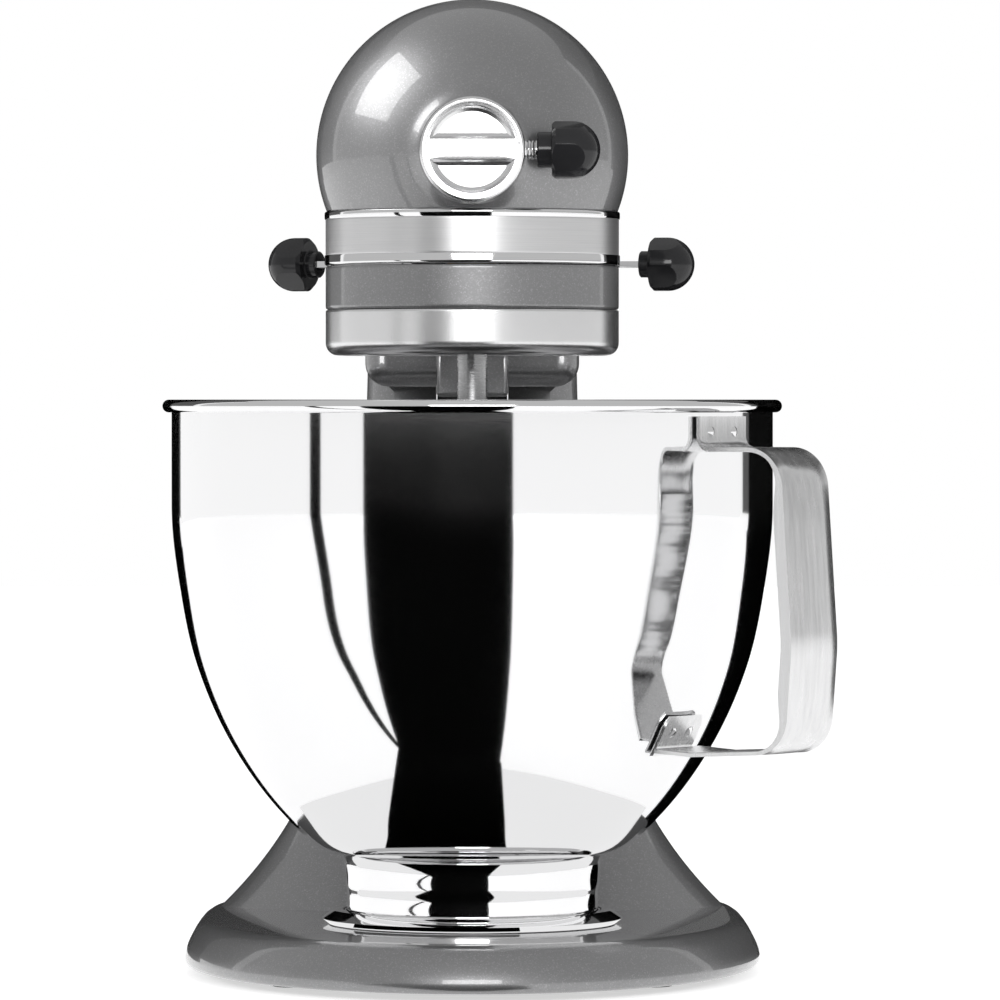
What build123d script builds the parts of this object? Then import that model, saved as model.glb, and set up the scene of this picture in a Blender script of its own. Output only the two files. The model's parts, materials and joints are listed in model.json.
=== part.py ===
"""Tilt-head stand mixer with bowl, built as separate pieces.

Millimetres, +Z up, front faces -Y, +X to the right when seen from the front.
The origin is on the table, under the bowl's axis.
"""

from build123d import *
import os
from math import atan2, cos, degrees, exp, pi, radians, sin, sqrt, tan

os.makedirs("parts", exist_ok=True)

# ---- clearances -------------------------------------------------------------
running_gap = 0.05      # radial, shaft in bush
press_gap = 0.02        # radial, piece held in its seat
seat_gap = 0.2          # between faces that rest on each other
free_gap = 0.5          # round pieces that pass each other

# ---- heights of the stand ---------------------------------------------------
foot_height = 3.0
base_thickness = 16.5
base_wall = 6.0
base_top = foot_height + base_thickness

# ---- plan of the base -------------------------------------------------------
base_half_width = 104.5
base_front_reach = 142.3
base_centre_y = 30.0
base_overhang = 20.0    # behind the column

# ---- head -------------------------------------------------------------------
head_axis_z = 296.5
head_radius = 56.2
head_length = 246.0     # from the bowl axis to the rear end
head_taper = 2.6        # exponent of the rear taper
shell_wall = 2.8
seam_drop = 20.0        # head axis down to the shell's lower edge
band_height = 19.6
housing_height = 16.0
ring_height = 16.4
band_proud = 0.7
cover_split_y = 212.0

seam_z = head_axis_z - seam_drop
band_z = seam_z - band_height
housing_z = band_z - housing_height
ring_z = housing_z - ring_height
plan_radius = sqrt(head_radius**2 - seam_drop**2)
plan_length = head_length * (1 - (seam_drop / head_radius) ** head_taper) ** (1 / head_taper)

# ---- hinge and column -------------------------------------------------------
hinge_y = 141.0
hinge_drop = 96.5       # head axis down to the hinge pin
pin_radius = 4.75
prong_half_width = 38.6
prong_radius = 25.0
tongue_half_width = 13.2
boss_radius = 18.0
tongue_drop = 31.3      # housing underside down to the tongue's underside
hinge_z = head_axis_z - hinge_drop
tongue_z = housing_z - tongue_drop
slot_floor_z = hinge_z - prong_radius - 3.0
column_front_y = hinge_y - prong_radius + 1.0
column_rear_y = hinge_y + prong_radius + 2.0
flare_width = 55.2      # extra half-width at the foot of the column
flare_depth = 57.0
rear_flare = 6.0
flare_height = 51.3
base_rear_y = column_rear_y + base_overhang

# ---- drive ------------------------------------------------------------------
gear_module = 1.5
ring_teeth = 56
pinion_teeth = 16
centre_teeth = 48
orbit = gear_module * (ring_teeth - pinion_teeth) / 2
tooth_share = 0.40      # tooth thickness over pitch
addendum = 0.8
dedendum = 1.1
centre_shaft_radius = 6.0
beater_shaft_radius = 5.5
planet_thickness = 12.0

# ---- bowl -------------------------------------------------------------------
bowl_radius = 108.3
bowl_wall = 0.9
bowl_floor_radius = 48.0
bowl_height = 161.0     # foot ring's top to the wall's top
rim_roll = 2.3
foot_ring_height = 24.0
foot_ring_radius = 45.3
clamp_radius = 54.2
clamp_height = 5.5


def save(part, name):
    part.label = name
    export_step(part, f"parts/{name}.step")


def mirrored(points):
    """Closes a right-hand outline (x >= 0) over the left side."""
    return points + [(-x, y) for x, y in reversed(points[1:-1])]


def super_points(half_width, front, rear, power_front, power_rear, centre_y, count=8):
    """Points of an outline made of two half superellipses, from the front tip round."""
    points = []
    for step in range(-count, count + 1):
        angle = radians(90 * step / count)
        power = power_front if step < 0 else power_rear
        reach = front if step < 0 else rear
        across = half_width * abs(cos(angle)) ** (2 / power) if abs(step) < count else 0
        along = reach * abs(sin(angle)) ** (2 / power)
        points.append((across, centre_y + (along if step > 0 else -along)))
    return mirrored(points)


# =============================================================================
# Stand
# =============================================================================

def base_outline(inset):
    return super_points(
        base_half_width - inset, base_front_reach - inset, base_rear_y - base_centre_y - inset,
        2.0, 4.0, base_centre_y,
    )


base_rounding = [(0.0, 1.5), (0.13, 0.0), (0.35, 0.8), (0.56, 2.2), (0.79, 4.2), (0.92, 5.8), (1.0, 7.3)]
plate_thickness = 1.5
cavity_top = base_top - base_wall
plate_top = foot_height + plate_thickness
plate_post_radius = 5.0
foot_places = [(0, 0), (-62, -36), (62, -36), (-70, base_rear_y - 50), (70, base_rear_y - 50)]
plate_screw_places = [(-40, -62), (40, -62), (-40, base_rear_y - 22), (40, base_rear_y - 22)]
column_screw_radius = 3.0
column_screw_places = [(-40, hinge_y - 28), (40, hinge_y - 28), (-40, hinge_y + 14), (40, hinge_y + 14)]
clamp_screw_radius = 2.0
clamp_screw_places = [(30 * cos(radians(a)), 30 * sin(radians(a))) for a in (30, 150, 270)]
clamp_floor = 1.6

with BuildPart() as base_casting:
    for share, inset in base_rounding:
        with BuildSketch(Plane.XY.offset(foot_height + share * base_thickness)):
            with BuildLine():
                Spline(*base_outline(inset), periodic=True)
            make_face()
    loft()
    with BuildSketch(Plane.XY.offset(foot_height)):
        with BuildLine():
            Spline(*base_outline(8.0), periodic=True)
        make_face()
    extrude(amount=cavity_top - foot_height, mode=Mode.SUBTRACT)
    with BuildSketch(Plane.XY.offset(plate_top)):
        with Locations(*plate_screw_places):
            Circle(plate_post_radius)
    extrude(amount=cavity_top - plate_top)
    with BuildSketch(Plane.XY.offset(plate_top)):
        with Locations(*plate_screw_places):
            Circle(1.5 + press_gap)
    extrude(amount=6, mode=Mode.SUBTRACT)
    with BuildSketch(Plane.XY.offset(cavity_top)):
        with Locations(*column_screw_places):
            Circle(column_screw_radius + press_gap)
        with Locations(*clamp_screw_places):
            Circle(clamp_screw_radius + press_gap)
    extrude(amount=base_wall, mode=Mode.SUBTRACT)
save(base_casting.part, "base_casting")

foot_stud_radius = 3.0
with BuildPart() as base_plate:
    with BuildSketch(Plane.XY.offset(foot_height)):
        with BuildLine():
            Spline(*base_outline(8.3), periodic=True)
        make_face()
        with Locations(*foot_places):
            Circle(foot_stud_radius, mode=Mode.SUBTRACT)
        with Locations(*plate_screw_places):
            Circle(1.5 + press_gap, mode=Mode.SUBTRACT)
    extrude(amount=plate_thickness)
save(base_plate.part, "base_plate")

with BuildPart() as rubber_feet:
    with BuildSketch(Plane.XY):
        with Locations(*foot_places):
            Circle(9.0)
    extrude(amount=foot_height, taper=8)
    with BuildSketch(Plane.XY.offset(foot_height)):
        with Locations(*foot_places):
            Circle(foot_stud_radius)
    extrude(amount=plate_thickness)
    with BuildSketch(Plane.XY.offset(plate_top)):
        with Locations(*foot_places):
            Circle(foot_stud_radius + 1.2)
    extrude(amount=2.0)
save(rubber_feet.part, "rubber_feet")


def screws(name, places, head_z, head_radius_, head_height, shank_radius, length):
    """Upright screws, heads down, standing in the same pattern."""
    with BuildPart() as screw_set:
        with BuildSketch(Plane.XY.offset(head_z)):
            with Locations(*places):
                Circle(head_radius_)
        extrude(amount=-head_height)
        with BuildSketch(Plane.XY.offset(head_z)):
            with Locations(*places):
                Circle(shank_radius)
        extrude(amount=length)
        with BuildSketch(Plane.XY.offset(head_z - head_height)):
            with Locations(*places):
                RegularPolygon(head_radius_ * 0.5, 6)
        extrude(amount=head_height * 0.5, mode=Mode.SUBTRACT)
    save(screw_set.part, name)


screws("plate_screws", plate_screw_places, foot_height, 3.0, 1.4, 1.5, plate_thickness + 6)
screws("column_screws", column_screw_places, cavity_top, 5.5, 4.0, column_screw_radius, base_wall + 18)


# ---- column -----------------------------------------------------------------
def column_half_width(z):
    return prong_half_width + flare_width * exp(-(z - base_top) / flare_height)


def column_outline(z):
    """Plan of the column at a height; the flare is widest towards its front."""
    flare = exp(-(z - base_top) / flare_height)
    front = column_front_y - flare_depth * flare
    rear = column_rear_y + rear_flare * flare
    widest = front + (0.5 - 0.19 * flare) * (rear - front)
    power = 3.4 - 1.2 * flare
    return super_points(column_half_width(z), widest - front, rear - widest, power, power, widest, 6)


duct_half_width = 26.0
duct_depth = 34.0
duct_top = slot_floor_z - 12
slot_half_width = tongue_half_width + free_gap
column_levels = [0.0, 0.04, 0.1, 0.2, 0.34, 0.52, 0.75, 1.0]
prong_top = hinge_z + prong_radius
stop_screw_radius = 2.5
stop_screw_y = hinge_y - boss_radius - stop_screw_radius - 0.7
set_screw_radius = 2.0

with BuildPart() as pedestal_column:
    for share in column_levels:
        level = base_top + share * (prong_top + 1 - base_top)
        with BuildSketch(Plane.XY.offset(level)):
            with BuildLine():
                Spline(*column_outline(level), periodic=True)
            make_face()
    loft()
    with BuildSketch(Plane.YZ):
        with Locations((hinge_y, hinge_z)):
            Circle(prong_radius)
        with Locations((hinge_y, hinge_z - 150)):
            Rectangle(400, 300)
    extrude(amount=200, both=True, mode=Mode.INTERSECT)
    with BuildSketch(Plane.XY.offset(slot_floor_z)):
        with Locations((0, hinge_y)):
            Rectangle(2 * slot_half_width, 200)
    extrude(amount=100, mode=Mode.SUBTRACT)
    with BuildSketch(Plane.XY.offset(base_top)):
        with Locations((0, hinge_y)):
            RectangleRounded(2 * duct_half_width, duct_depth, 8)
    extrude(amount=duct_top - base_top, mode=Mode.SUBTRACT)
    with BuildSketch(Plane.XY.offset(base_top)):
        with Locations(*column_screw_places):
            Circle(column_screw_radius + press_gap)
    extrude(amount=18.5, mode=Mode.SUBTRACT)
    with BuildSketch(Plane.YZ):
        with Locations((hinge_y, hinge_z)):
            Circle(pin_radius + press_gap)
    extrude(amount=200, both=True, mode=Mode.SUBTRACT)
    with BuildSketch(Plane.XY.offset(slot_floor_z - 8)):
        with Locations((0, stop_screw_y)):
            Circle(stop_screw_radius + press_gap)
    extrude(amount=10, mode=Mode.SUBTRACT)
    with BuildSketch(Plane.XZ.offset(-(column_rear_y + 5))):
        with Locations((prong_half_width - 12, hinge_z)):
            Circle(set_screw_radius + press_gap)
    extrude(amount=prong_radius + 7, mode=Mode.SUBTRACT)
save(pedestal_column.part, "pedestal_column")

with BuildPart() as hinge_pin:
    with BuildSketch(Plane.YZ.offset(-prong_half_width + 0.6)):
        with Locations((hinge_y, hinge_z)):
            Circle(pin_radius)
    extrude(amount=2 * prong_half_width - 1.2)
    chamfer(hinge_pin.faces().filter_by(Axis.X).edges(), 0.6)
save(hinge_pin.part, "hinge_pin")

with BuildPart() as hinge_set_screw:
    with BuildSketch(Plane.XZ.offset(-(hinge_y + pin_radius + seat_gap))):
        with Locations((prong_half_width - 12, hinge_z)):
            Circle(set_screw_radius)
    extrude(amount=-(prong_radius - pin_radius - 6))
save(hinge_set_screw.part, "hinge_set_screw")

with BuildPart() as stop_screw:
    with BuildSketch(Plane.XY.offset(slot_floor_z - 8)):
        with Locations((0, stop_screw_y)):
            Circle(stop_screw_radius)
    extrude(amount=tongue_z - seat_gap - slot_floor_z + 8)
save(stop_screw.part, "stop_screw")

# ---- bowl clamp plate -------------------------------------------------------
lug_height = 2.4
lug_reach = 3.2
lip_clear = 1.0
lip_radius = foot_ring_radius + lip_clear
groove_radius = foot_ring_radius + lug_reach + lip_clear
clamp_top = base_top + clamp_height
ring_bottom = base_top + clamp_floor + seat_gap
lug_top = ring_bottom + lug_height
lip_bottom = lug_top + 0.4
lug_angles = [45, 165, 285]
lug_span = 24.0
unlock_angle = 20.0

with BuildPart() as bowl_clamp_plate:
    with BuildSketch(Plane.XZ):
        with BuildLine():
            Polyline(
                (0, base_top), (clamp_radius - 3, base_top), (clamp_radius, base_top + 2.4),
                (clamp_radius - 4, clamp_top), (lip_radius, clamp_top), (lip_radius, lip_bottom),
                (groove_radius, lip_bottom), (groove_radius, base_top + clamp_floor),
                (0, base_top + clamp_floor), (0, base_top),
            )
        make_face()
    revolve(axis=Axis.Z)
    for lug_angle in lug_angles:
        with BuildSketch(Plane.XY.offset(lip_bottom)):
            with BuildLine():
                middle = lug_angle + unlock_angle
                low = radians(middle - lug_span / 2 - 2)
                high = radians(middle + lug_span / 2 + 2)
                out = groove_radius
                Polyline(
                    (0, 0), (out * cos(low), out * sin(low)),
                    (out * cos(radians(middle)) * 1.02, out * sin(radians(middle)) * 1.02),
                    (out * cos(high), out * sin(high)), (0, 0),
                )
            make_face()
        extrude(amount=10, mode=Mode.SUBTRACT)
    with BuildSketch(Plane.XY.offset(base_top)):
        with Locations(*clamp_screw_places):
            Circle(clamp_screw_radius + press_gap)
    extrude(amount=clamp_floor, mode=Mode.SUBTRACT)
save(bowl_clamp_plate.part, "bowl_clamp_plate")

with BuildPart() as clamp_screws:
    with BuildSketch(Plane.XY.offset(base_top + clamp_floor)):
        with Locations(*clamp_screw_places):
            Circle(3.6)
    extrude(amount=1.8, taper=20)
    with BuildSketch(Plane.XY.offset(base_top + clamp_floor)):
        with Locations(*clamp_screw_places):
            Circle(clamp_screw_radius)
    extrude(amount=-(clamp_floor + base_wall - 0.5))
save(clamp_screws.part, "clamp_screws")

# =============================================================================
# Bowl
# =============================================================================
bowl_floor_z = ring_bottom + foot_ring_height
wall_top_z = bowl_floor_z + bowl_height
curve_top_z = wall_top_z - 36.0


def bowl_outline(gap):
    """Bowl wall from the floor's edge up to the plain stretch, moved inward by gap."""
    depth = curve_top_z - bowl_floor_z
    floor_share = (bowl_floor_radius + 1.28) / bowl_radius
    shape = [(floor_share, 0.0), (0.622, 0.105), (0.797, 0.31), (0.915, 0.54), (0.973, 0.77), (1.0, 1.0)]
    points = []
    for across, up in shape:
        slope = (1 - up) ** 1.2
        points.append((bowl_radius * across - gap * (1 - 0.5 * slope), bowl_floor_z + depth * up + gap * slope))
    return points


with BuildPart() as bowl_shell:
    with BuildSketch(Plane.XZ):
        with BuildLine():
            outer = bowl_outline(0)
            inner = bowl_outline(bowl_wall)
            Line((0, bowl_floor_z), outer[0])
            Spline(*outer, tangents=[(1, 0.12), (0, 1)])
            Line(outer[-1], (bowl_radius, wall_top_z))
            Line((bowl_radius, wall_top_z), (bowl_radius - bowl_wall, wall_top_z))
            Line((bowl_radius - bowl_wall, wall_top_z), inner[-1])
            Spline(*reversed(inner), tangents=[(0, -1), (-1, -0.12)])
            Line(inner[0], (0, inner[0][1]))
            Line((0, inner[0][1]), (0, bowl_floor_z))
        make_face()
        with Locations((bowl_radius + 1.0, wall_top_z)):
            Circle(rim_roll)
    revolve(axis=Axis.Z)
save(bowl_shell.part, "bowl_shell")

with BuildPart() as bowl_foot_ring:
    with BuildSketch(Plane.XZ):
        with BuildLine():
            Polyline(
                (foot_ring_radius, ring_bottom), (foot_ring_radius, ring_bottom + 11),
                (foot_ring_radius + 1.2, ring_bottom + 17), (bowl_floor_radius + 1.2, bowl_floor_z),
                (bowl_floor_radius - 1.2, bowl_floor_z), (foot_ring_radius - 0.6, ring_bottom + 17),
                (foot_ring_radius - 1.6, ring_bottom + 11), (foot_ring_radius - 1.6, ring_bottom),
                (foot_ring_radius, ring_bottom),
            )
        make_face()
    revolve(axis=Axis.Z)
    for lug_angle in lug_angles:
        with BuildSketch(Plane.XY.offset(ring_bottom)):
            with BuildLine():
                low = lug_angle - lug_span / 2
                near = foot_ring_radius - 0.8
                far = foot_ring_radius + lug_reach
                CenterArc((0, 0), far, low, lug_span)
                CenterArc((0, 0), near, low, lug_span)
                for side in (radians(low), radians(low + lug_span)):
                    Line((near * cos(side), near * sin(side)), (far * cos(side), far * sin(side)))
            make_face()
        extrude(amount=lug_height)
save(bowl_foot_ring.part, "bowl_foot_ring")

# ---- handle -----------------------------------------------------------------
handle_turn = radians(-36.9)
handle_plane = Plane(
    origin=(0, 0, 0),
    x_dir=(cos(handle_turn), sin(handle_turn), 0),
    z_dir=(sin(handle_turn), -cos(handle_turn), 0),
)
strap_width = 28.5
strap_thickness = 1.6
handle_reach = 40.1     # beyond the bowl's wall
lean_top = 5.0          # the grip stands further out in the middle than at its ends
lean_bottom = 3.0
tab_gap = strap_thickness / 2 + 0.1
handle_top = wall_top_z - 15.2
handle_bottom = handle_top - 106.0
handle_out = bowl_radius + handle_reach
widest_z = handle_bottom + 38.0
weld_r = bowl_radius * 0.832
weld_z = bowl_floor_z + 0.31 * (curve_top_z - bowl_floor_z)

with BuildPart() as handle_strap:
    with BuildSketch(handle_plane):
        with BuildLine() as strap_line:
            FilletPolyline(
                (bowl_radius + tab_gap, wall_top_z - 3.6),
                (bowl_radius + tab_gap, handle_top),
                (handle_out - lean_top, handle_top),
                (handle_out, widest_z),
                (handle_out - lean_bottom, handle_bottom + 1),
                (weld_r + 16, handle_bottom - 1),
                (weld_r, weld_z + 0.5),
                radius=[3.0, 14.0, 60.0, 13.0, 8.0],
            )
        trace(line_width=strap_thickness)
    extrude(amount=strap_width / 2, both=True)
save(handle_strap.part, "handle_strap")

grip_depth = 3.0
grip_gap = 0.3
grip_top = handle_top - 16
grip_bottom = handle_bottom + 14
scoops = 4
scoop_pitch = (grip_top - grip_bottom) / scoops
scoop_depth = 0.9


def strap_inside(z):
    """Radius of the strap's inner face along the grip."""
    if z > widest_z:
        lean = lean_top * (z - widest_z) / (handle_top - widest_z)
    else:
        lean = lean_bottom * (widest_z - z) / (widest_z - handle_bottom - 1)
    return handle_out - lean - strap_thickness / 2 - grip_gap


with BuildPart() as handle_grip:
    with BuildSketch(handle_plane):
        with BuildLine():
            for index in range(scoops):
                low_z = grip_bottom + index * scoop_pitch
                middle_z = low_z + scoop_pitch / 2
                high_z = low_z + scoop_pitch
                ThreePointArc(
                    (strap_inside(low_z) - grip_depth, low_z),
                    (strap_inside(middle_z) - grip_depth + scoop_depth, middle_z),
                    (strap_inside(high_z) - grip_depth, high_z),
                )
            Polyline(
                (strap_inside(grip_top) - grip_depth, grip_top), (strap_inside(grip_top), grip_top),
                (strap_inside(widest_z) - grip_gap, widest_z), (strap_inside(grip_bottom), grip_bottom),
                (strap_inside(grip_bottom) - grip_depth, grip_bottom),
            )
        make_face()
    extrude(amount=strap_width / 2, both=True)
save(handle_grip.part, "handle_grip")


# =============================================================================
# Head
# =============================================================================

def head_outline(offset_):
    """Plan outline shared by the shell's skirt, the band and the housing."""
    radius = plan_radius + offset_
    return super_points(radius, radius, plan_length + offset_, 2.0, head_taper, 0)


def head_profile(offset_):
    """Half profile of the head's body of revolution, as (y, height over the axis)."""
    radius = head_radius + offset_
    length = head_length + offset_
    points = []
    for step in range(9):
        angle = radians(90 * step / 8)
        points.append((length * sin(angle) ** (2 / head_taper), radius * cos(angle) ** (2 / head_taper)))
    points[-1] = (length, 0)
    return radius, points


def head_body(offset_, mode):
    radius, points = head_profile(offset_)
    with BuildSketch(Plane.YZ) as profile:
        with BuildLine():
            shifted = [(y, head_axis_z + z) for y, z in points]
            ThreePointArc(
                (-radius, head_axis_z),
                (-radius * sqrt(0.5), head_axis_z + radius * sqrt(0.5)),
                (0, head_axis_z + radius),
            )
            Spline(*shifted, tangents=[(1, 0), (0, -1)])
            Line(shifted[-1], (-radius, head_axis_z))
        make_face()
    revolve(profile.sketch, axis=Axis((0, 0, head_axis_z), (0, 1, 0)), mode=mode)


skirt_outer = -1.4
skirt_inner = -4.0
lever_thickness = 2.3
lever_half_width = 3.5
lever_z = band_z + 0.55
notch_height = lever_thickness + 1.3
boss_places = [(-42, 100), (42, 100), (-30, 190), (30, 190)]
screw_post_radius = 6.0
housing_screw_radius = 2.2
hub_radius = 18.6
hub_bore = 15.0
hub_face_y = -head_radius - 9.0
hub_back_y = hub_face_y + 34.0
hub_wall = 4.0
hub_shaft_radius = 7.0
knob_y = hub_face_y + 4.9
hub_screw_radius = 3.45
brush_y = 172.0
brush_cap_radius = 6.9

gland_radius = 4.5
speed_pivot = (-20.0, 54.8)
speed_rest = radians(180 - 24.7)
speed_travel = 50.0
lock_pivot = (30.0, 75.0)
lock_rest = radians(-12.6)
lock_travel = 25.0


def notch(pivot, rest, travel):
    """Fan-shaped slot that the lever sweeps, open to the outside."""
    margin = atan2(lever_half_width + 1.0, plan_radius + skirt_inner - abs(pivot[0]))
    first = rest - margin
    last = rest + radians(travel) + margin
    reach = 90.0
    with BuildSketch(Plane.XY.offset(band_z - 0.01)) as fan:
        with BuildLine():
            Polyline(
                pivot, (pivot[0] + reach * cos(first), pivot[1] + reach * sin(first)),
                (pivot[0] + reach * cos((first + last) / 2), pivot[1] + reach * sin((first + last) / 2)),
                (pivot[0] + reach * cos(last), pivot[1] + reach * sin(last)), pivot,
            )
        make_face()
    extrude(fan.sketch, amount=notch_height, mode=Mode.SUBTRACT)


def shell_piece(low_y, high_y, name):
    """Head skin between two stations along the head, with its skirt and screw posts."""
    with BuildPart() as piece:
        head_body(0, Mode.ADD)
        with BuildSketch(Plane.YZ.offset(-head_radius - 5)):
            with Locations((hub_face_y, seam_z - 200)):
                Rectangle(900, 400)
        extrude(amount=2 * head_radius + 10, mode=Mode.SUBTRACT)
        head_body(-shell_wall, Mode.SUBTRACT)
        with BuildSketch(Plane.XY.offset(band_z)):
            with BuildLine():
                Spline(*head_outline(skirt_outer), periodic=True)
            make_face()
            with BuildLine():
                Spline(*head_outline(skirt_inner), periodic=True)
            make_face(mode=Mode.SUBTRACT)
        extrude(amount=seam_z + 1.2 - band_z)
        for place in boss_places:
            with BuildSketch(Plane.XY.offset(band_z)):
                with Locations(place):
                    Circle(screw_post_radius)
            extrude(amount=13)
        with BuildSketch(Plane.XY.offset(band_z)):
            with Locations(*boss_places):
                Circle(housing_screw_radius + press_gap)
        extrude(amount=10, mode=Mode.SUBTRACT)
        with BuildSketch(Plane.XZ.offset(-hub_face_y)):
            with Locations((0, head_axis_z)):
                Circle(hub_radius)
        extrude(amount=-(hub_back_y + hub_wall - hub_face_y))
        with BuildSketch(Plane.XZ.offset(-hub_face_y)):
            with Locations((0, head_axis_z)):
                Circle(hub_bore)
        extrude(amount=-(hub_back_y - hub_face_y), mode=Mode.SUBTRACT)
        with BuildSketch(Plane.XZ.offset(-hub_face_y)):
            with Locations((0, head_axis_z)):
                Circle(hub_shaft_radius + running_gap)
        extrude(amount=-(hub_back_y + hub_wall - hub_face_y), mode=Mode.SUBTRACT)
        with BuildSketch(Plane.YZ):
            with Locations((knob_y, head_axis_z)):
                Circle(hub_screw_radius + press_gap)
        extrude(amount=hub_radius + 5, mode=Mode.SUBTRACT)
        with BuildSketch(Plane.YZ):
            with Locations((brush_y, head_axis_z)):
                Circle(brush_cap_radius + press_gap)
        extrude(amount=100, both=True, mode=Mode.SUBTRACT)
        with BuildSketch(Plane.XZ.offset(-head_length - 5)):
            with Locations((0, head_axis_z)):
                Circle(gland_radius + press_gap)
        extrude(amount=30, mode=Mode.SUBTRACT)
        notch(speed_pivot, speed_rest, speed_travel)
        notch(lock_pivot, lock_rest, lock_travel)
        with BuildSketch(Plane.XY.offset(band_z - 5)):
            with Locations((0, (low_y + high_y) / 2)):
                Rectangle(4 * head_radius, high_y - low_y)
        extrude(amount=4 * head_radius, mode=Mode.INTERSECT)
    save(piece.part, name)


rear_split_gap = 0.3
shell_piece(hub_face_y - 10, cover_split_y, "head_shell")
shell_piece(cover_split_y + rear_split_gap, head_length + 20, "rear_cover")

with BuildPart() as trim_band:
    with BuildSketch(Plane.XY.offset(band_z)):
        with BuildLine():
            Spline(*head_outline(band_proud), periodic=True)
        make_face()
        with BuildLine():
            Spline(*head_outline(skirt_outer + 0.2), periodic=True)
        make_face(mode=Mode.SUBTRACT)
    extrude(amount=band_height - 0.3)
    notch(speed_pivot, speed_rest, speed_travel)
    notch(lock_pivot, lock_rest, lock_travel)
save(trim_band.part, "trim_band")

# ---- lower housing ----------------------------------------------------------
housing_wall = 4.0
housing_offset = 0.3
ceiling = 5.9
ring_gear_radius = 46.5
ring_gear_height = housing_height - ceiling - 0.1
bush_radius = 9.0
tray_y = 86.0
bulge_half_width = 39.5
bulge_front_y = 57.0
bulge_rear_y = 112.0
bulge_z = housing_z - 27.5
bulge_round = 8.6
worm_radius = 6.0
wheel_offset = 24.0
gear_distance = gear_module * (centre_teeth + pinion_teeth) / 2
wheel_y = sqrt(gear_distance**2 - wheel_offset**2)
wheel_shaft_radius = 4.0
stator_radius = 38.5
stator_bore = 26.0
stator_y = 112.0
stator_length = 46.0

with BuildPart() as lower_housing:
    with BuildSketch(Plane.XY.offset(housing_z)):
        with BuildLine():
            Spline(*head_outline(housing_offset), periodic=True)
        make_face()
    extrude(amount=housing_height)
    with BuildSketch(Plane.XY.offset(housing_z + housing_wall)):
        with BuildLine():
            Spline(*head_outline(-housing_wall), periodic=True)
        make_face()
        with Locations((0, tray_y - 500)):
            Rectangle(1000, 1000, mode=Mode.SUBTRACT)
    extrude(amount=housing_height, mode=Mode.SUBTRACT)
    with BuildSketch(Plane.XY.offset(bulge_z)):
        with Locations((0, (bulge_front_y + bulge_rear_y) / 2)):
            RectangleRounded(2 * bulge_half_width, bulge_rear_y - bulge_front_y, bulge_round)
    extrude(amount=housing_z + housing_wall - bulge_z)
    fillet(lower_housing.edges().group_by(Axis.Z)[0], bulge_round - 1)
    with BuildSketch(Plane.XY.offset(bulge_z + housing_wall)):
        with Locations((0, (bulge_front_y + bulge_rear_y) / 2)):
            Rectangle(2 * (bulge_half_width - housing_wall - 2), bulge_rear_y - bulge_front_y - 14)
    extrude(amount=housing_z - bulge_z, mode=Mode.SUBTRACT)
    for place in boss_places:
        with BuildSketch(Plane.XY.offset(housing_z + 1)):
            with Locations(place):
                Circle(screw_post_radius)
        extrude(amount=housing_height - 1)
    with BuildSketch(Plane.XY.offset(housing_z + 1)):
        with Locations((0, stator_y + stator_length / 2)):
            Rectangle(34, stator_length - 10)
    extrude(amount=housing_height + 6)
    with BuildSketch(Plane.XZ.offset(-stator_y)):
        with Locations((0, head_axis_z)):
            Circle(stator_radius + 0.1)
    extrude(amount=-stator_length, mode=Mode.SUBTRACT)
    with BuildSketch(Plane.YZ):
        with BuildLine():
            tongue_front = plan_radius + 2.0
            Polyline(
                (tongue_front, housing_z + 2), (tongue_front, tongue_z),
                (hinge_y - boss_radius, tongue_z), (hinge_y - boss_radius, hinge_z),
                (hinge_y + boss_radius, hinge_z), (hinge_y + boss_radius, housing_z + 2),
                (tongue_front, housing_z + 2),
            )
        make_face()
        with Locations((hinge_y, hinge_z)):
            Circle(boss_radius)
    extrude(amount=tongue_half_width, both=True)
    with BuildSketch(Plane.YZ):
        with Locations((hinge_y, hinge_z)):
            Circle(pin_radius + running_gap)
    extrude(amount=tongue_half_width + 1, both=True, mode=Mode.SUBTRACT)
    with BuildSketch(Plane.XY.offset(housing_z)):
        Circle(ring_gear_radius + press_gap)
    extrude(amount=housing_height - ceiling, mode=Mode.SUBTRACT)
    with BuildSketch(Plane.XY.offset(housing_z)):
        Circle(bush_radius + press_gap)
        with Locations((wheel_offset, wheel_y)):
            Circle(wheel_shaft_radius + running_gap)
    extrude(amount=housing_height + 1, mode=Mode.SUBTRACT)
    with BuildSketch(Plane.XY.offset(housing_z)):
        with Locations(*boss_places):
            Circle(4.5)
    extrude(amount=3.6, mode=Mode.SUBTRACT)
    with BuildSketch(Plane.XY.offset(housing_z)):
        with Locations(*boss_places):
            Circle(housing_screw_radius + press_gap)
    extrude(amount=housing_height + 1, mode=Mode.SUBTRACT)
    with BuildSketch(Plane.XY.offset(band_z - ceiling)):
        with Locations(speed_pivot, lock_pivot):
            Circle(2.5 + press_gap)
    extrude(amount=ceiling + 1, mode=Mode.SUBTRACT)
save(lower_housing.part, "lower_housing")

screws("housing_screws", boss_places, housing_z + 3.6, 4.0, 3.0, housing_screw_radius, housing_height + 5)

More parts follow.
